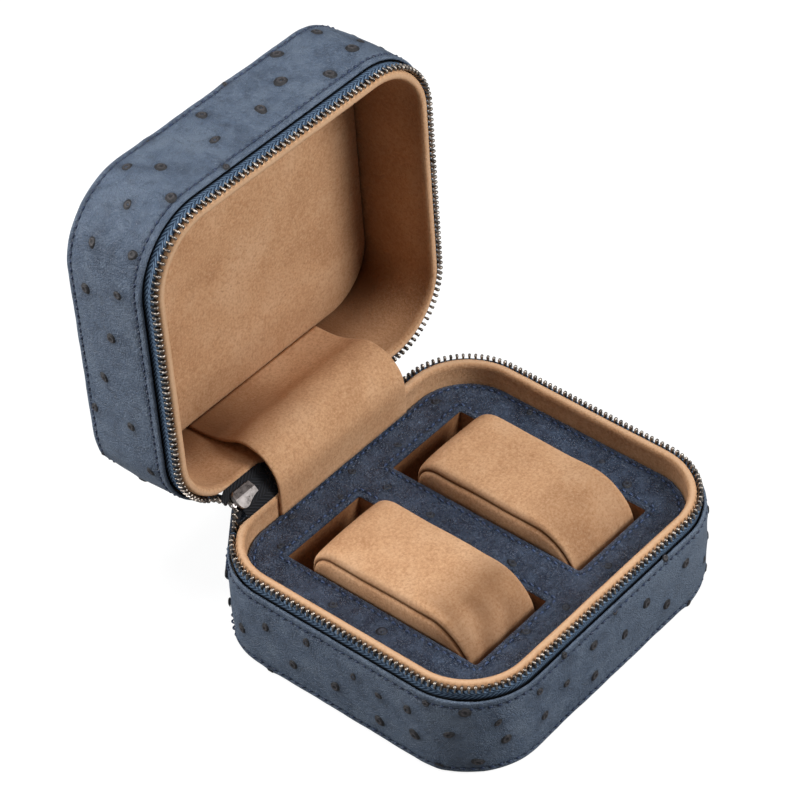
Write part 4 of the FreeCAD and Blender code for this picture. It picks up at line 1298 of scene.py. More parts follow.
def bent_line(y, z, steps, spacing):
    """Places, headings from upright and run, along a line in the Y-Z plane. Each step is a bend's radius and
    its turn, or a straight's length and no turn."""
    heading = 0.0
    run = 0.0
    line = [(y, z, heading, run)]
    for size, turn in steps:
        length = size * abs(turn) if turn else size
        count = max(1, round(length / spacing))
        for _ in range(count):
            heading += turn / count / 2
            y += math.sin(heading) * length / count
            z += math.cos(heading) * length / count
            heading += turn / count / 2
            run += length / count
            line.append((y, z, heading, run))
    return line


def slab_ring(half_width, thick, spacing):
    """The outline of a strip's section, with rounded edges: places across and off its middle."""
    reach = half_width - thick / 2
    turns = [math.radians(angle) for angle in range(180, 60, -30)]
    left = [(-reach + math.cos(turn) * thick / 2, math.sin(turn) * thick / 2) for turn in turns]
    count = round(2 * reach / spacing)
    middle = [(-reach + 2 * reach * step / count, thick / 2) for step in range(1, count)]
    right = [(-x, off) for x, off in reversed(left)]
    top = left + middle + right
    return top + [(x, -off) for x, off in reversed(top[1:-1])]


def add_slab(piece, line, half_width, thick, spacing, fold, shade=lambda x, run: 0.0):
    """A strip of sheet along a line in the Y-Z plane. fold gives its lift off the line, and shade how dark
    it is."""
    ring = slab_ring(half_width, thick, spacing)
    points = []
    notes = []
    for y, z, heading, run in line:
        out = Vector((0, -math.cos(heading), math.sin(heading)))
        for x, off in ring:
            points.append(Vector((x, y, z)) + out * (off + fold(x, run)))
            notes.append((run, x, shade(x, run)))
    piece.add(points, flipped(capped_tube(len(line), len(ring))), 0, notes)


FLAP_HALF_WIDTH = 31.75
FLAP_THICK = 1.2
FLAP_PLAY = 0.3
FLAP_RISE = 11.0
FLAP_BEND = 13.0
FLAP_DIP = 30.0
FLAP_GAP = 0.2
# The flap's softness: its swells, and how its side edges curl
FLAP_LONG_SWELL = (0.55, 22, 6)
FLAP_SHORT_SWELL = (0.22, 9, 9)
FLAP_CURL = 0.9
# Shade: deep to the left where the flap tucks into the lid, light over its foot
TUCK_SHADE = 0.95
TUCK_START = 0.42
TUCK_REACH = 0.4
TUCK_RIGHT = 6.0
TUCK_WIDTH = 34
FOOT_SHADE = 0.06
FOOT_RUN = 7.0
FOOT_REACH = 9.0


def swung(y, z, angle):
    """A place in the Y-Z plane, swung about the hinge line from +Z towards +Y."""
    dy, dz = y - HINGE_POINT.y, z - HINGE_POINT.z
    c, s = math.cos(angle), math.sin(angle)
    return HINGE_POINT.y + c * dy + s * dz, HINGE_POINT.z + c * dz - s * dy


def inner_flap():
    """The suede flap that covers the hinge inside, sewn to both halves."""
    y = HALF_DEPTH - INSERT_INSET + FLAP_GAP - FLAP_PLAY - FLAP_THICK / 2
    z = INSERT_HIGH.z + FLAP_PLAY
    end_y, end_z = swung(y, 2 * HINGE_POINT.z - LID_PAD_TOP - FLAP_PLAY, OPENING)
    lift = (end_y - y - FLAP_BEND) * -math.cos(OPENING) + (end_z - z - FLAP_RISE) * math.sin(OPENING)
    ease = math.acos((lift + FLAP_DIP) / (FLAP_BEND + FLAP_DIP))
    steps = [(FLAP_RISE, 0), (FLAP_BEND, OPENING + ease), (FLAP_DIP, -ease)]
    joined_y, joined_z, _, _ = bent_line(y, z, steps, SHEET_SPACING)[-1]
    run_out = (end_y - joined_y) * math.sin(OPENING) + (end_z - joined_z) * math.cos(OPENING)
    line = bent_line(y, z, steps + [(run_out, 0)], SHEET_SPACING)
    length = line[-1][3]

    def fold(x, run):
        free = math.sin(math.pi * run / length) ** 2
        soft = uneven((x, run, 0), [FLAP_LONG_SWELL]) + uneven((x, run * 1.6, 0), [FLAP_SHORT_SWELL])
        return free * (soft - FLAP_CURL * (abs(x) / FLAP_HALF_WIDTH) ** 6)

    def shade(x, run):
        tucked = held((run / length - TUCK_START) / TUCK_REACH)
        left = held((TUCK_RIGHT - x) / TUCK_WIDTH)
        foot = max(0.0, 1.0 - abs(run - FOOT_RUN) / FOOT_REACH)
        return TUCK_SHADE * tucked * left + FOOT_SHADE * foot

    piece = Piece("hinge_flap")
    add_slab(piece, line, FLAP_HALF_WIDTH, FLAP_THICK, SHEET_SPACING, fold, shade)
    made = piece.build(None, [SUEDE], ["inner_flap"])
    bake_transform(made)


SPINE_HALF_WIDTH = 30.5
SPINE_THICK = 1.2
SPINE_LAP = 7.0
SPINE_SEAM = 2
SPINE_LINE_SPACING = 0.9
SPINE_SPACING = 1.2
SPINE_SWELLS = [(-0.08, 7, 30), (-0.05, 2.5, 31)]


def spine():
    """The leather strap that hinges the two halves outside, stitched along its edges."""
    half_gap = HINGE_POINT.z - BASE_LIP
    radius = half_gap / math.tan(OPENING / 2) + HINGE_POINT.y - HALF_DEPTH - SPINE_THICK / 2
    y = HALF_DEPTH + SPINE_THICK / 2
    z = BASE_LIP - SPINE_LAP
    line = bent_line(y, z, [(SPINE_LAP, 0), (radius, OPENING), (SPINE_LAP, 0)], SPINE_LINE_SPACING)
    piece = Piece("spine_strap")
    add_slab(
        piece,
        line,
        SPINE_HALF_WIDTH,
        SPINE_THICK,
        SPINE_SPACING,
        fold=lambda x, run: uneven((x, run, 0), SPINE_SWELLS),
    )
    for seam_y, seam_z, heading, _ in (line[2], line[-3]):
        out = Vector((0, math.cos(heading), -math.sin(heading)))
        for number in range(round(2 * (SPINE_HALF_WIDTH - SPINE_SEAM) / STITCH_PITCH)):
            x = -SPINE_HALF_WIDTH + SPINE_SEAM + (number + 0.5) * STITCH_PITCH
            middle = Vector((x, seam_y, seam_z)) + out * (SPINE_THICK / 2)
            add_thread(piece, middle, ACROSS, out, 1)
    made = piece.build(None, [LEATHER, THREAD], ["spine_leather"])
    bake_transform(made)


# Insert

WELL_NEAR = 8.5
WELL_FAR = 44.0
WELL_HALF_DEPTH = 39.0
WELL_CORNER = 0.8
WELL_MIDDLE = (WELL_NEAR + WELL_FAR) / 2
WELL_HALF_WIDTH = (WELL_FAR - WELL_NEAR) / 2
INSERT_SPACING = 1.1
INSERT_EDGE = 1.1
INSERT_SEAM = 2.3
# Distances in from each edge at which the leather's mesh has a line of points
EDGE_LINES = [0.0, 0.08, 0.26, 0.55, 0.9, 1.3, 1.75, 2.05, 2.3, 2.55, 2.9, 3.5]
EDGE_LINES_END = 4.3
EDGE_SLACK = 0.004
INSERT_LONG_SWELL = (0.24, 9, 41)
INSERT_SHORT_SWELL = (0.3, 3.6, 43)
INSERT_FIRM_EDGE = 2.5
GROOVE_DEPTH = 0.3
GROOVE_WIDTH = 0.4
GROOVE_SHADE = 0.75
# The leather is paler along its rounded edge: how much, and how far in
PALE_EDGE = 0.35
PALE_EDGE_PLACE = 0.5
STITCH_DEPTH = 0.24
# A quill on the insert: how far round it the leather is moved, and how high, how wide and how dark
INSERT_QUILL_REACH = 6
INSERT_QUILL_SWELL = 0.3
INSERT_QUILL_WIDTH = 2.0
INSERT_QUILL_SHADE = 0.4
INSERT_QUILL_SHADE_WIDTH = 2.6
INSERT_QUILL_SEAT = 0.16
# Pixels of the photograph where a quill shows on the insert, with its radius in millimetres
QUILL_MARKS_INSERT = [
    (352, 472, 1.5), (387, 487, 1.6), (341, 497, 1.4), (430, 515, 1.6), (397, 445, 1.6),
    (292, 517, 1.3), (281, 546, 1.5), (333, 605, 1.7), (382, 632, 2.0), (436, 402, 1.6),
    (426, 431, 1.4), (530, 412, 1.4), (627, 484, 1.9), (602, 462, 1.2), (512, 563, 1.9),
    (468, 545, 1.3), (526, 632, 1.5), (566, 607, 1.5), (608, 566, 1.4),
]


def well_distance(x, y, side):
    """Distance outside the edge of a well, less than zero inside it."""
    dx = abs(x - side * WELL_MIDDLE) - WELL_HALF_WIDTH + WELL_CORNER
    dy = abs(y) - WELL_HALF_DEPTH + WELL_CORNER
    outside = math.hypot(max(dx, 0), max(dy, 0))
    return outside + min(max(dx, dy), 0) - WELL_CORNER


def outline_distance(x, y):
    """Distance inside the insert's outer edge, less than zero outside it."""
    radius = CORNER - INSERT_INSET
    dx = abs(x) - CORE_X
    dy = abs(y) - CORE_Y
    return radius - math.hypot(max(dx, 0), max(dy, 0)) - min(max(dx, dy), 0)


def insert_distance(x, y):
    """Distance from the nearest edge of the insert's top, less than zero off it."""
    return min(outline_distance(x, y), well_distance(x, y, -1), well_distance(x, y, 1))


def well_ring(side, off):
    """Points round a well, a distance outside its edge."""
    middle = side * WELL_MIDDLE
    half_x = WELL_HALF_WIDTH - WELL_CORNER
    half_y = WELL_HALF_DEPTH - WELL_CORNER
    radius = WELL_CORNER + off
    corners = [(half_x, half_y), (-half_x, half_y), (-half_x, -half_y), (half_x, -half_y)]
    turns = max(3, round(radius * math.pi / 2 / INSERT_SPACING))
    ring = []
    for number, (x, y) in enumerate(corners):
        first = number * math.pi / 2
        for step in range(turns + 1):
            angle = first + math.pi / 2 * step / turns
            ring.append(Vector((middle + x, y)) + Vector((math.cos(angle), math.sin(angle))) * radius)
        next_x, next_y = corners[(number + 1) % len(corners)]
        count = round(math.hypot(next_x - x, next_y - y) / INSERT_SPACING)
        start = ring[-1]
        for step in range(1, count):
            ring.append(start + Vector((next_x - x, next_y - y)) * (step / count))
    return ring


def outer_ring(off):
    """Points round the insert, a distance inside its outer edge."""
    stations = rim_stations(INSERT_SPACING, INSERT_INSET)
    return [core + out * (CORNER - INSERT_INSET - off) for core, out, _ in stations]


def insert_mesh():
    """Corners and triangles over the insert's flat outline, with the two wells left out."""
    flat = []
    for off in EDGE_LINES:
        flat.extend(outer_ring(off))
        for side in (-1, 1):
            flat.extend(well_ring(side, off))
    for column in range(int(2 * INSERT_HIGH.x / INSERT_SPACING)):
        for row in range(int(2 * INSERT_HIGH.y / INSERT_SPACING)):
            x = -INSERT_HIGH.x + (column + 0.5) * INSERT_SPACING
            y = -INSERT_HIGH.y + (row + 0.5) * INSERT_SPACING
            if insert_distance(x, y) > EDGE_LINES_END:
                flat.append(Vector((x, y)))
    corners, _, triangles = geometry.delaunay_2d_cdt(flat, [], [], 0, 1e-5)[:3]
    kept = []
    for face in triangles:
        x = sum(corners[corner].x for corner in face) / len(face)
        y = sum(corners[corner].y for corner in face) / len(face)
        if insert_distance(x, y) > EDGE_SLACK:
            kept.append(face)
    return corners, kept


def insert_top():
    """The leather-covered top of the insert, with turned edges, seams and quills."""
    corners, triangles = insert_mesh()
    quills = insert_quills()
    near = search_tree([middle for middle, _ in quills])
    points = []
    notes = []
    for corner in corners:
        off = insert_distance(corner.x, corner.y)
        height, shade = insert_height(corner.x, corner.y, off)
        for _, _, distance in near.find_range(Vector((corner.x, corner.y, 0)), INSERT_QUILL_REACH):
            height += INSERT_QUILL_SWELL * bell(distance, INSERT_QUILL_WIDTH) * min(1, off / 2)
            shade += INSERT_QUILL_SHADE * bell(distance, INSERT_QUILL_SHADE_WIDTH)
        points.append(Vector((corner.x, corner.y, height)))
        notes.append((0.0, 0.0, min(1.0, shade)))
    piece = Piece("insert_cover")
    piece.add(points, triangles, 0, notes)
    turned_edge = (INSERT_HIGH.z - INSERT_EDGE, INSERT_LOW.z + 0.05)
    for ring in (outer_ring(0.0), well_ring(-1, 0.0), well_ring(1, 0.0)):
        ring.reverse()
        skirt = [Vector((point.x, point.y, height)) for height in turned_edge for point in ring]
        piece.add(skirt, flipped(grid_faces(2, len(ring), closed_columns=True)))
    dice = random.Random("insert quills")
    for middle, radius in quills:
        height, _ = insert_height(middle.x, middle.y, insert_distance(middle.x, middle.y))
        seat = Vector((middle.x, middle.y, height + INSERT_QUILL_SEAT))
        add_quill(piece, seat, UP, radius, 1, dice)
    add_insert_stitches(piece)
    made = piece.build(
        "base", [INSERT_LEATHER, INSERT_QUILL, INSERT_THREAD], ["insert_leather"]
    )
    weld(made.data)


def weld(mesh):
    """Joins the points of a mesh that lie on each other."""
    joined = bmesh.new()
    joined.from_mesh(mesh)
    bmesh.ops.remove_doubles(joined, verts=joined.verts, dist=1e-7)
    joined.to_mesh(mesh)
    joined.free()


def insert_height(x, y, off):
    """Height and shade of the insert's leather at a place."""
    edge = max(0.0, INSERT_EDGE - off)
    height = INSERT_HIGH.z - INSERT_EDGE + math.sqrt(max(0.0, INSERT_EDGE**2 - edge**2))
    groove = bell(off - INSERT_SEAM, GROOVE_WIDTH)
    loose = min(1.0, off / INSERT_FIRM_EDGE)
    swell = uneven((x, y, 0), [INSERT_LONG_SWELL]) + uneven((x, y * 0.7, 0), [INSERT_SHORT_SWELL])
    height += loose * swell - GROOVE_DEPTH * groove
    shade = GROOVE_SHADE * groove - PALE_EDGE * bell(off - PALE_EDGE_PLACE, GROOVE_WIDTH)
    return height, shade


def insert_quills():
    """Places and radii of the insert's quills, read from the photograph."""
    quills = []
    for across, down, radius in QUILL_MARKS_INSERT:
        ray = pixel_ray(across, down)
        reach = (INSERT_HIGH.z - VIEW_POINT.z) / ray.z
        spot = VIEW_POINT + ray * reach
        quills.append((Vector((spot.x, spot.y, 0)), radius))
    return quills


def add_insert_stitches(piece):
    """Stitches round the outer edge and round both wells."""
    inset = INSERT_INSET + INSERT_SEAM
    length = rim_length(inset)
    count = round(length / STITCH_PITCH)
    half_x = WELL_HALF_WIDTH + INSERT_SEAM
    half_y = WELL_HALF_DEPTH + INSERT_SEAM
    count_x = round(2 * half_x / STITCH_PITCH)
    count_y = round(2 * half_y / STITCH_PITCH)
    spots = []
    for number in range(count):
        core, out = rim_at(inset, (number + 0.5) * length / count)
        spots.append((core + out * (CORNER - inset), rim_directions(out)[0]))
    for middle_x in (-WELL_MIDDLE, WELL_MIDDLE):
        for sign in (-1, 1):
            for number in range(count_x):
                x = middle_x - half_x + (number + 0.5) * 2 * half_x / count_x
                spots.append((Vector((x, sign * half_y)), ACROSS))
            for number in range(count_y):
                y = -half_y + (number + 0.5) * 2 * half_y / count_y
                spots.append((Vector((middle_x + sign * half_x, y)), BACKWARDS))
    for spot, along in spots:
        add_thread(piece, Vector((spot.x, spot.y, INSERT_HIGH.z - STITCH_DEPTH)), along, UP, 2)


# Pillows

PILLOW_ROUND_FRONT = 18.0
PILLOW_ROUND_BACK = 10.0
PILLOW_ROUND_FOOT = 4.0
PILLOW_ROUND_LEAST = 1.2
# How much of the sink at the crown also draws in the rounds and the ends
ROUND_SHARE = 0.6
END_SHARE = 0.35
FOOT_SINK = 2.0
# Across the pillow from its left side, how deep it sinks and its shade, up to the middle of the crown. The
# shade paints shade in the seam's crease and makes the side paler just above it
CROWN_HALF = [
    (-15.6, 7.5, 1.0),
    (-15.65, 4.6, 1.0),
    (-15.8, 3.7, 0.7),
    (-16.0, 3.1, 0.1),
    (-16.0, 2.4, -0.2),
    (-15.6, 1.6, -0.3),
    (-14.7, 0.95, -0.15),
    (-12.6, 0.5, 0.0),
    (-8.8, 0.2, 0.0),
    (-4.0, 0.04, 0.0),
    (0.0, 0.0, 0.0),
]
# The same for a cheek, from under the crown's seam out to its face
CHEEK_PROFILE = [
    (14.6, 8.6, 1.0),
    (15.3, 4.9, 1.0),
    (15.75, 4.3, 1.0),
    (16.2, 4.35, 0.3),
    (16.75, 4.9, -0.1),
    (17.05, 6.3, 0.0),
    (17.05, 8.4, 0.0),
    (16.85, 10.6, 0.1),
    (16.6, 13.2, 0.2),
]
CROWN_SPACING = 1.0
CHEEK_SPACING = 0.9
# The front is creased and painted in shade, from a distance behind its foot forwards. Above a height the
# pillow is soft
CREASE_START = 26
CREASE_REACH = 14
CREASE_LEAN = 0.45
CREASE_SHADE = 0.34
FRONT_SHADE = 0.18
SOFT_FROM = 12
SOFT_REACH = 8


def pillow_loop(low, high, sink):
    """The pillow's side outline in the Y-Z plane, drawn in by sink, as evenly spread points."""
    rounds = (PILLOW_ROUND_FRONT, PILLOW_ROUND_BACK, PILLOW_ROUND_FOOT)
    front, back, foot = (max(radius - sink * ROUND_SHARE, PILLOW_ROUND_LEAST) for radius in rounds)
    y0, y1 = low.y + sink * END_SHARE, high.y - sink * END_SHARE
    z0, z1 = low.z + min(sink, FOOT_SINK), high.z - sink
    # Centre, radius, first angle and steps of each round, and the steps of the straight after it
    corners = [
        (y0 + front, z1 - front, front, 180, 22, 26),
        (y1 - back, z1 - back, back, 90, 14, 9),
        (y1 - foot, z0 + foot, foot, 0, 6, 22),
        (y0 + foot, z0 + foot, foot, -90, 6, 6),
    ]
    arcs = []
    for y, z, radius, first, steps, _ in corners:
        angles = [math.radians(first - 90 * step / steps) for step in range(steps + 1)]
        arcs.append([(y + radius * math.cos(angle), z + radius * math.sin(angle)) for angle in angles])
    loop = []
    for arc, following, corner in zip(arcs, arcs[1:] + arcs[:1], corners):
        loop.extend(arc)
        (start_y, start_z), (end_y, end_z) = arc[-1], following[0]
        for step in range(1, corner[-1]):
            share = step / corner[-1]
            loop.append((start_y + (end_y - start_y) * share, start_z + (end_z - start_z) * share))
    return loop


def add_loft(piece, low, high, middle_x, stations, wrinkle):
    """A closed form through side outlines: stations of place across, sink and shade."""
    points = []
    notes = []
    for x, sink, shade in stations:
        loop = pillow_loop(low, high, sink)
        for y, z in loop:
            point = Vector((middle_x + x, y, z))
            move, fold = wrinkle(point)
            points.append(point + move)
            notes.append((x, 0.0, shade + fold))
    piece.add(points, capped_tube(len(stations), len(loop)), 0, notes)


def pillow(name, middle_x, seed, folds):
    """A watch pillow: a suede strip over its crown, sewn to two puffed cheeks, and more or less creased."""
    low, high = box_mm(name + "_cover")

    def wrinkle(point):
        front = held((low.y + CREASE_START - point.y) / CREASE_REACH)
        soft = uneven(point, [(0.35, 17, seed), (0.16, 7, seed + 3)])
        ripple = front * rough((point.x * 1.3, point.y * 0.5, point.z * 0.5), 7.5, seed + 5)
        upward = held((point.z - SOFT_FROM) / SOFT_REACH)
        move = Vector((0, -CREASE_LEAN * front, 1)).normalized() * upward * (soft + folds * ripple)
        return move, front * (FRONT_SHADE + folds * (CREASE_SHADE - CREASE_SHADE * ripple))

    crown = CROWN_HALF + [(-x, sink, shade) for x, sink, shade in reversed(CROWN_HALF[:-1])]
    cover = Piece(name + "_crown")
    add_loft(cover, low, high, middle_x, smooth_line(crown, CROWN_SPACING), wrinkle)
    cheeks = Piece(name + "_sides")
    for sign in (-1, 1):
        rows = smooth_line([(sign * x, sink, shade) for x, sink, shade in CHEEK_PROFILE], CHEEK_SPACING)
        add_loft(cheeks, low, high, middle_x, rows[::sign], wrinkle)
    made = cover.build(name, [SUEDE], [name + "_cover", name + "_core"])
    made = cheeks.build(name, [SUEDE], [name + "_cheeks"])


# Slider and pull


def add_ring(piece, middle, axis, radius, wire):
    """A round wire bent into a ring."""
    sides = 10
    steps = 40
    across = axis.orthogonal().normalized()
    up = axis.cross(across)
    points = []
    for step in range(steps):
        angle = 2 * math.pi * step / steps
        out = across * math.cos(angle) + up * math.sin(angle)
        for side in range(sides):
            turn = 2 * math.pi * side / sides
            points.append(middle + out * (radius + wire * math.cos(turn)) + axis * (wire * math.sin(turn)))
    piece.add(points, grid_faces(steps, sides, closed_rows=True, closed_columns=True))


# The slider's inner plate, seen from inside the case: its curved edge, then its straight one
PLATE_CURVE = [
    (-36.9, -0.9),
    (-38.6, -1.2),
    (-40.7, -1.9),
    (-42.4, -2.8),
    (-43.9, -3.1),
    (-45.4, -2.5),
    (-46.4, -0.8),
    (-46.8, 1.3),
    (-46.5, 3.0),
    (-45.4, 3.9),
]
PLATE_OUTLINE = [*smooth_line(PLATE_CURVE, 0.8), Vector((-42.0, 3.95)), Vector((-37.8, 3.8))]
PLATE_MIDDLE = (-42.0, 0.6)
PLATE_RIDGE_ENDS = (-46.4, -37.5)
PLATE_RIDGE_Z = 1.3
PLATE_RIDGE_RISE = 0.9
PLATE_SLOPE = 0.22
PLATE_SPLIT = -42.5
PLATE_SHARP = 12
WEDGE_SHARE = 0.62
LUG_PLACE = (-0.4, 1.3)
LUG_RADIUS = 0.5
LUG_WIRE = 0.6


def slider_plates():
    """The slider: two plates joined by a wedge, the inner one with a ridge, and a lug at its nose. The facets
    above the ridge take a darker copy of the metal as painted shade.
    """
    low, high = slider_reach()
    face = low.y + 0.15
    # Share of the plate's outline and depth of each ring, from the inner face to the outer one
    rings = [
        (0.95, face),
        (1.0, low.y + 0.35),
        (1.0, low.y + 0.9),
        (WEDGE_SHARE, low.y + 0.95),
        (WEDGE_SHARE, high.y - 0.95),
        (1.0, high.y - 0.9),
        (1.0, high.y - 0.15),
        (0.93, high.y),
    ]
    count = len(PLATE_OUTLINE)
    points = []
    for share, ring_depth in rings:
        for x, z in PLATE_OUTLINE:
            across = PLATE_MIDDLE[0] + (x - PLATE_MIDDLE[0]) * share
            along = PLATE_MIDDLE[1] + (z - PLATE_MIDDLE[1]) * share
            depth = ring_depth
            if ring_depth == face:
                depth -= PLATE_RIDGE_RISE - PLATE_SLOPE * abs(along - PLATE_RIDGE_Z)
            points.append(Vector((across, depth, HINGE_POINT.z + along)))
    faces = grid_faces(len(rings), count, closed_columns=True)
    faces.append(tuple(range(count * (len(rings) - 1), count * len(rings))))
    ridge = len(points)
    points += [Vector((x, face - PLATE_RIDGE_RISE, HINGE_POINT.z + PLATE_RIDGE_Z)) for x in PLATE_RIDGE_ENDS]
    ends = [ridge if corner.x < PLATE_SPLIT else ridge + 1 for corner in PLATE_OUTLINE]
    in_shade_faces = []
    for here in range(count):
        there = (here + 1) % count
        facet = [here, there, ends[here]]
        if ends[there] != ends[here]:
            facet.insert(2, ends[there])
        # Facets above the ridge take the darker copy of the nickel, as painted shade
        in_shade = PLATE_OUTLINE[here].y + PLATE_OUTLINE[there].y > 2 * PLATE_RIDGE_Z
        (in_shade_faces if in_shade else faces).append(facet)
    piece = Piece("slider_plates")
    placed = [HALF_OPEN @ point for point in points]
    piece.add(placed, faces)
    piece.add(placed, in_shade_faces, 1)
    lug = HALF_OPEN @ Vector((low.x + LUG_PLACE[0], low.y + LUG_PLACE[1], HINGE_POINT.z))
    add_ring(piece, lug, HALF_OPEN.to_3x3() @ BACKWARDS, LUG_RADIUS, LUG_WIRE)
    piece.build("slider", [SLIDER_METAL, SLIDER_SHADED], ["slider_body"], sharp=PLATE_SHARP)


# The tape behind the slider, near black as painted shadow: its section, off the hinge line, and how narrow it
# is at its left end
WEB_SECTION = [(-4.95, 6.75), (-5.7, 4.7), (-5.85, 3.0), (-5.85, -4.7), (-4.9, -6.4)]
WEB_END_SHARE = 0.62
WEB_REACH_LEFT = 3.2
WEB_MOUTH = 1.2
WEB_RIGHT = -30.0


def zip_tail_web():
    """The tape that joins the two halves of the zip behind the slider, near black as painted shadow. It also
    fills the gap behind the slider with dark, as painted shadow.
    """
    low, _ = slider_reach()
    mouth = low.x + WEB_MOUTH
    corners = []
    notes = []
    for x, share in ((low.x - WEB_REACH_LEFT, WEB_END_SHARE), (mouth, 1.0), (WEB_RIGHT, 1.0)):
        for y, z in WEB_SECTION:
            corners.append(HALF_OPEN @ (HINGE_POINT + Vector((x, y, z * share))))
            notes.append((x, z, 0.0))
    faces = grid_faces(3, len(WEB_SECTION))
    # On the base's side the tape starts only at the slider's mouth
    del faces[2:4]
    web = Piece("zip_tail_web")
    web.add(corners, faces, 0, notes)
    web.build("zip_tail", [SHADOWED_TAPE])


def slider_reach():
    """The corners of the frame's slider, with the case turned back to shut."""
    node = frame["nodes"]["slider_body"]
    back = HALF_OPEN.inverted()
    spots = [back @ (node.matrix_world @ corner.co / MM) for corner in node.data.vertices]
    low = Vector([min(spot[axis] for spot in spots) for axis in range(3)])
    high = Vector([max(spot[axis] for spot in spots) for axis in range(3)])
    return low, high


# The pull hangs from the slider's bar, leaning to the left
PULL_HANG = Vector((-37.6, 62.632, 36.604))
PULL_LEAN = math.radians(13)
PULL_DOWN = Vector((-math.sin(PULL_LEAN), 0, -math.cos(PULL_LEAN)))
PULL_ACROSS = Vector((math.cos(PULL_LEAN), 0, -math.sin(PULL_LEAN)))
PULL_HALF_WIDTH = 5.25
PULL_TOP = 1.55
PULL_BOTTOM = 33.05
PULL_CORNER = 3.4
PULL_SEAM = 1.5
PULL_SEAM_SHADE = 0.6
PULL_STITCHES = 9
PULL_STITCH_LIFT = 0.64
# From the face by the case over the edge to the outer one: height off the middle, distance in from the edge
PULL_INNER_LAYERS = [(-0.88, 2.1), (-0.62, PULL_SEAM), (-0.9, 0.9), (-0.9, 0.35), (-0.7, 0.08), (-0.35, 0.0)]
PULL_LAYERS = PULL_INNER_LAYERS + [(-off, inset) for off, inset in reversed(PULL_INNER_LAYERS)]


def pull_outline():
    """Places on the tab's rounded outline, across and down, with the outward direction at each."""
    left, right = -PULL_HALF_WIDTH + PULL_CORNER, PULL_HALF_WIDTH - PULL_CORNER
    top, bottom = PULL_TOP + PULL_CORNER, PULL_BOTTOM - PULL_CORNER
    corners = [(right, bottom, 90), (right, top, 0), (left, top, -90), (left, bottom, 180)]
    steps = 8
    outline = []
    for x, down, first in corners:
        for step in range(steps + 1):
            angle = math.radians(first - 90 * step / steps)
            out = (math.cos(angle), math.sin(angle))
            outline.append((x + PULL_CORNER * out[0], down + PULL_CORNER * out[1], *out))
    return outline


def leather_pull():
    """The leather tab of the pull, stitched along both sides."""
    outline = pull_outline()
    points = []
    notes = []
    for off, inset in PULL_LAYERS:
        for x, down, out_x, out_down in outline:
            place = PULL_HANG + PULL_ACROSS * (x - out_x * inset) + PULL_DOWN * (down - out_down * inset)
            points.append(place + Vector((0, off, 0)))
            notes.append((0.0, 0.0, PULL_SEAM_SHADE if inset == PULL_SEAM else 0.0))
    piece = Piece("leather_pull")
    piece.add(points, flipped(capped_tube(len(PULL_LAYERS), len(outline))), 0, notes)
    for side in (-1, 1):
        for number in range(PULL_STITCHES):
            down = PULL_TOP + PULL_CORNER + PULL_SEAM + number * STITCH_PITCH
            for edge in (-1, 1):
                place = PULL_HANG + PULL_ACROSS * (edge * (PULL_HALF_WIDTH - PULL_SEAM)) + PULL_DOWN * down
                middle = place + Vector((0, side * PULL_STITCH_LIFT, 0))
                add_thread(piece, middle, PULL_DOWN, BACKWARDS * side, 1)
    # The tab takes the darker insert hide as painted shade
    piece.build("puller", [INSERT_LEATHER, THREAD], ["pull_tab"])


RING_DROP = 1.25
RING_RADIUS = 2.9
RING_WIRE = 0.65
EYELET_DROP = 4.0
EYELET_LIFT = 0.85
EYELET_RADIUS = 1.2
EYELET_WIRE = 0.35


def pull_wires():
    """The ring that carries the tab, and the tab's eyelet, front and back."""
    ring = Piece("pull_wire")
    add_ring(ring, PULL_HANG + PULL_DOWN * RING_DROP, PULL_ACROSS, RING_RADIUS, RING_WIRE)
    for side in (-1, 1):
        middle = PULL_HANG + PULL_DOWN * EYELET_DROP + Vector((0, EYELET_LIFT * side, 0))
        add_ring(ring, middle, BACKWARDS, EYELET_RADIUS, EYELET_WIRE)
    ring.build("puller", [METAL], ["pull_ring", "pull_eyelet"])


# Frame pieces that stay in sight, by a word in their names

FRAME_FINISHES = {
    "board": BOARD,
    "insert_frame": BOARD,
    # The well liners take the darker suede, as painted shade in the wells
    "well_liner": SHADED_WELL_SUEDE,
    # The frame's tail tape takes the near black tape, as painted shadow
    "tape": SHADOWED_TAPE,
    "zip_tail_teeth": METAL,
    "stop": METAL,
    "slider_crown": METAL,
}


def finish_frame_nodes():
    for name, node in frame["nodes"].items():
        if node.hide_render:
            continue
        for word, material in FRAME_FINISHES.items():
            if word in name:
                node.data.materials.clear()
                node.data.materials.append(material)


# Light and floor


def lamp(name, direction, distance, size, power):
    data = bpy.data.lights.new(name, "AREA")
    data.shape = "DISK"
    data.size = size
    data.energy = power
    made = bpy.data.objects.new(name, data)
    direction = Vector(direction).normalized()
    target = CAMERA_TARGET * MM
    made.location = target + direction * distance
    made.rotation_mode = "QUATERNION"
    made.rotation_quaternion = direction.to_track_quat("Z", "Y")
    bpy.context.scene.collection.objects.link(made)


WHITE = (1, 1, 1, 1)
GLOSSY_SHARE = 0.45
AMBIENT = 0.035
FLOOR_REACH = 4.0
FLOOR_DROP = 0.0002
# The floor's glow: weaker up to a distance from the middle, in metres, and full from another one on
GLOW_NEAR = 0.3
GLOW_FAR = 0.9
GLOW_LOW = 0.9


def lamps():
    lamp("key_lamp", (0.42, -1.0, 0.78), distance=1.3, size=0.5, power=12.8)
    lamp("top_lamp", (-0.1, 0.1, 1.0), distance=1.3, size=0.7, power=8.4)
    lamp("side_lamp", (-1.0, 0.85, 0.5), distance=0.62, size=0.3, power=2.4)


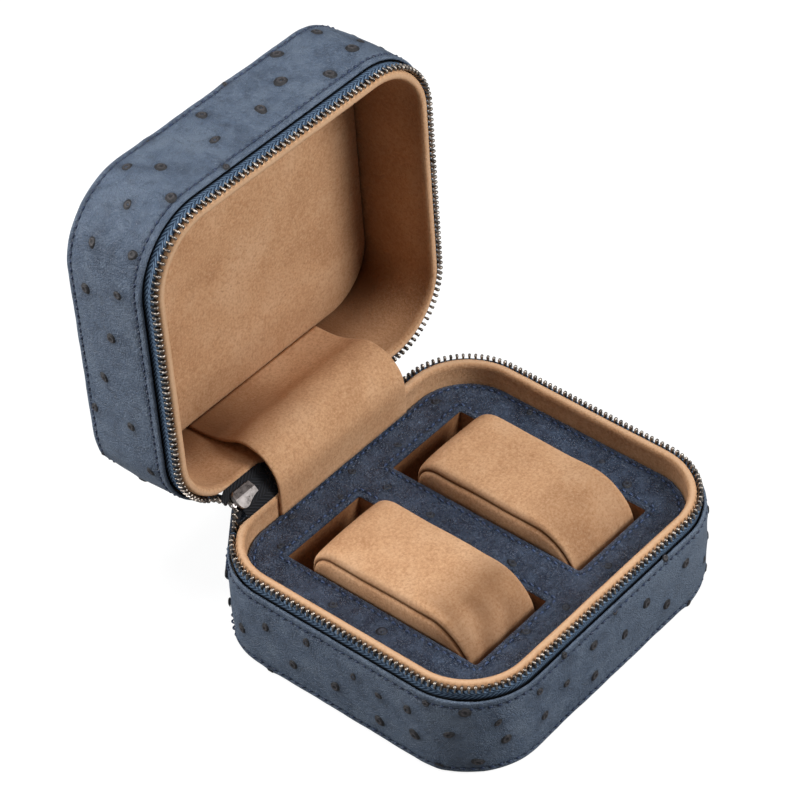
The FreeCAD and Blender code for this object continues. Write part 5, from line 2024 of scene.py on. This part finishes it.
def surroundings():
    """White to the lens, half white in reflections, and dim for all other light."""
    world = bpy.data.worlds.new("studio_world")
    bpy.context.scene.world = world
    world.use_nodes = True
    tree = world.node_tree
    background = tree.nodes["Background"]
    rays = tree.nodes.new("ShaderNodeLightPath").outputs
    seen = maths(tree, "MAXIMUM", rays["Is Camera Ray"], rays["Is Transmission Ray"])
    seen = maths(tree, "MAXIMUM", seen, maths(tree, "MULTIPLY", rays["Is Glossy Ray"], GLOSSY_SHARE))
    tree.links.new(scaled(tree, seen, 0.0, 1.0, AMBIENT, 1.0), background.inputs["Strength"])
    background.inputs["Color"].default_value = WHITE


def floor_material():
    """Paper that is white to the lens, with faint shadows, and grey to all other light."""
    material = bpy.data.materials.new("floor_paper")
    material.use_nodes = True
    tree = material.node_tree
    shader = tree.nodes["Principled BSDF"]
    shader.inputs["Base Color"].default_value = (0.3, 0.3, 0.3, 1)
    shader.inputs["Roughness"].default_value = 1.0
    shader.inputs["Specular IOR Level"].default_value = 0.0
    paper = add_node(tree, "ShaderNodeBsdfDiffuse", (0.2, 0.2, 0.2, 1)).outputs[0]
    place = tree.nodes.new("ShaderNodeTexCoord").outputs["Object"]
    away = add_node(tree, "ShaderNodeVectorMath", place, operation="LENGTH").outputs["Value"]
    strength = scaled(tree, away, GLOW_NEAR, GLOW_FAR, GLOW_LOW, 1.0)
    glow = add_node(tree, "ShaderNodeEmission", WHITE, strength).outputs[0]
    lit = add_node(tree, "ShaderNodeAddShader", paper, glow).outputs[0]
    rays = tree.nodes.new("ShaderNodeLightPath").outputs
    mix = add_node(tree, "ShaderNodeMixShader", rays["Is Camera Ray"], shader.outputs[0], lit).outputs[0]
    tree.links.new(mix, tree.nodes["Material Output"].inputs["Surface"])
    return material


def studio():
    lamps()
    surroundings()
    corners = [(-1, -1, 0), (1, -1, 0), (1, 1, 0), (-1, 1, 0)]
    mesh = bpy.data.meshes.new("studio_floor")
    mesh.from_pydata([Vector(corner) * FLOOR_REACH for corner in corners], [], [(0, 1, 2, 3)])
    mesh.materials.append(floor_material())
    floor = bpy.data.objects.new("studio_floor", mesh)
    floor.location.z = -FLOOR_DROP
    bpy.context.scene.collection.objects.link(floor)
    bpy.context.scene.view_settings.view_transform = "Standard"


make_camera()
studio()
outer_leather()
for half, offset in ((BASE, 0.25), (LID, 0.75)):
    zip_teeth(half, offset)
    zip_tape(half)
    zip_lead(half)
    lining_wall(half)
lid_pad()
inner_flap()
spine()
insert_top()
pillow("pillow_left", -WELL_MIDDLE, 51, 1.0)
pillow("pillow_right", WELL_MIDDLE, 67, 0.4)
slider_plates()
zip_tail_web()
leather_pull()
pull_wires()
finish_frame_nodes()
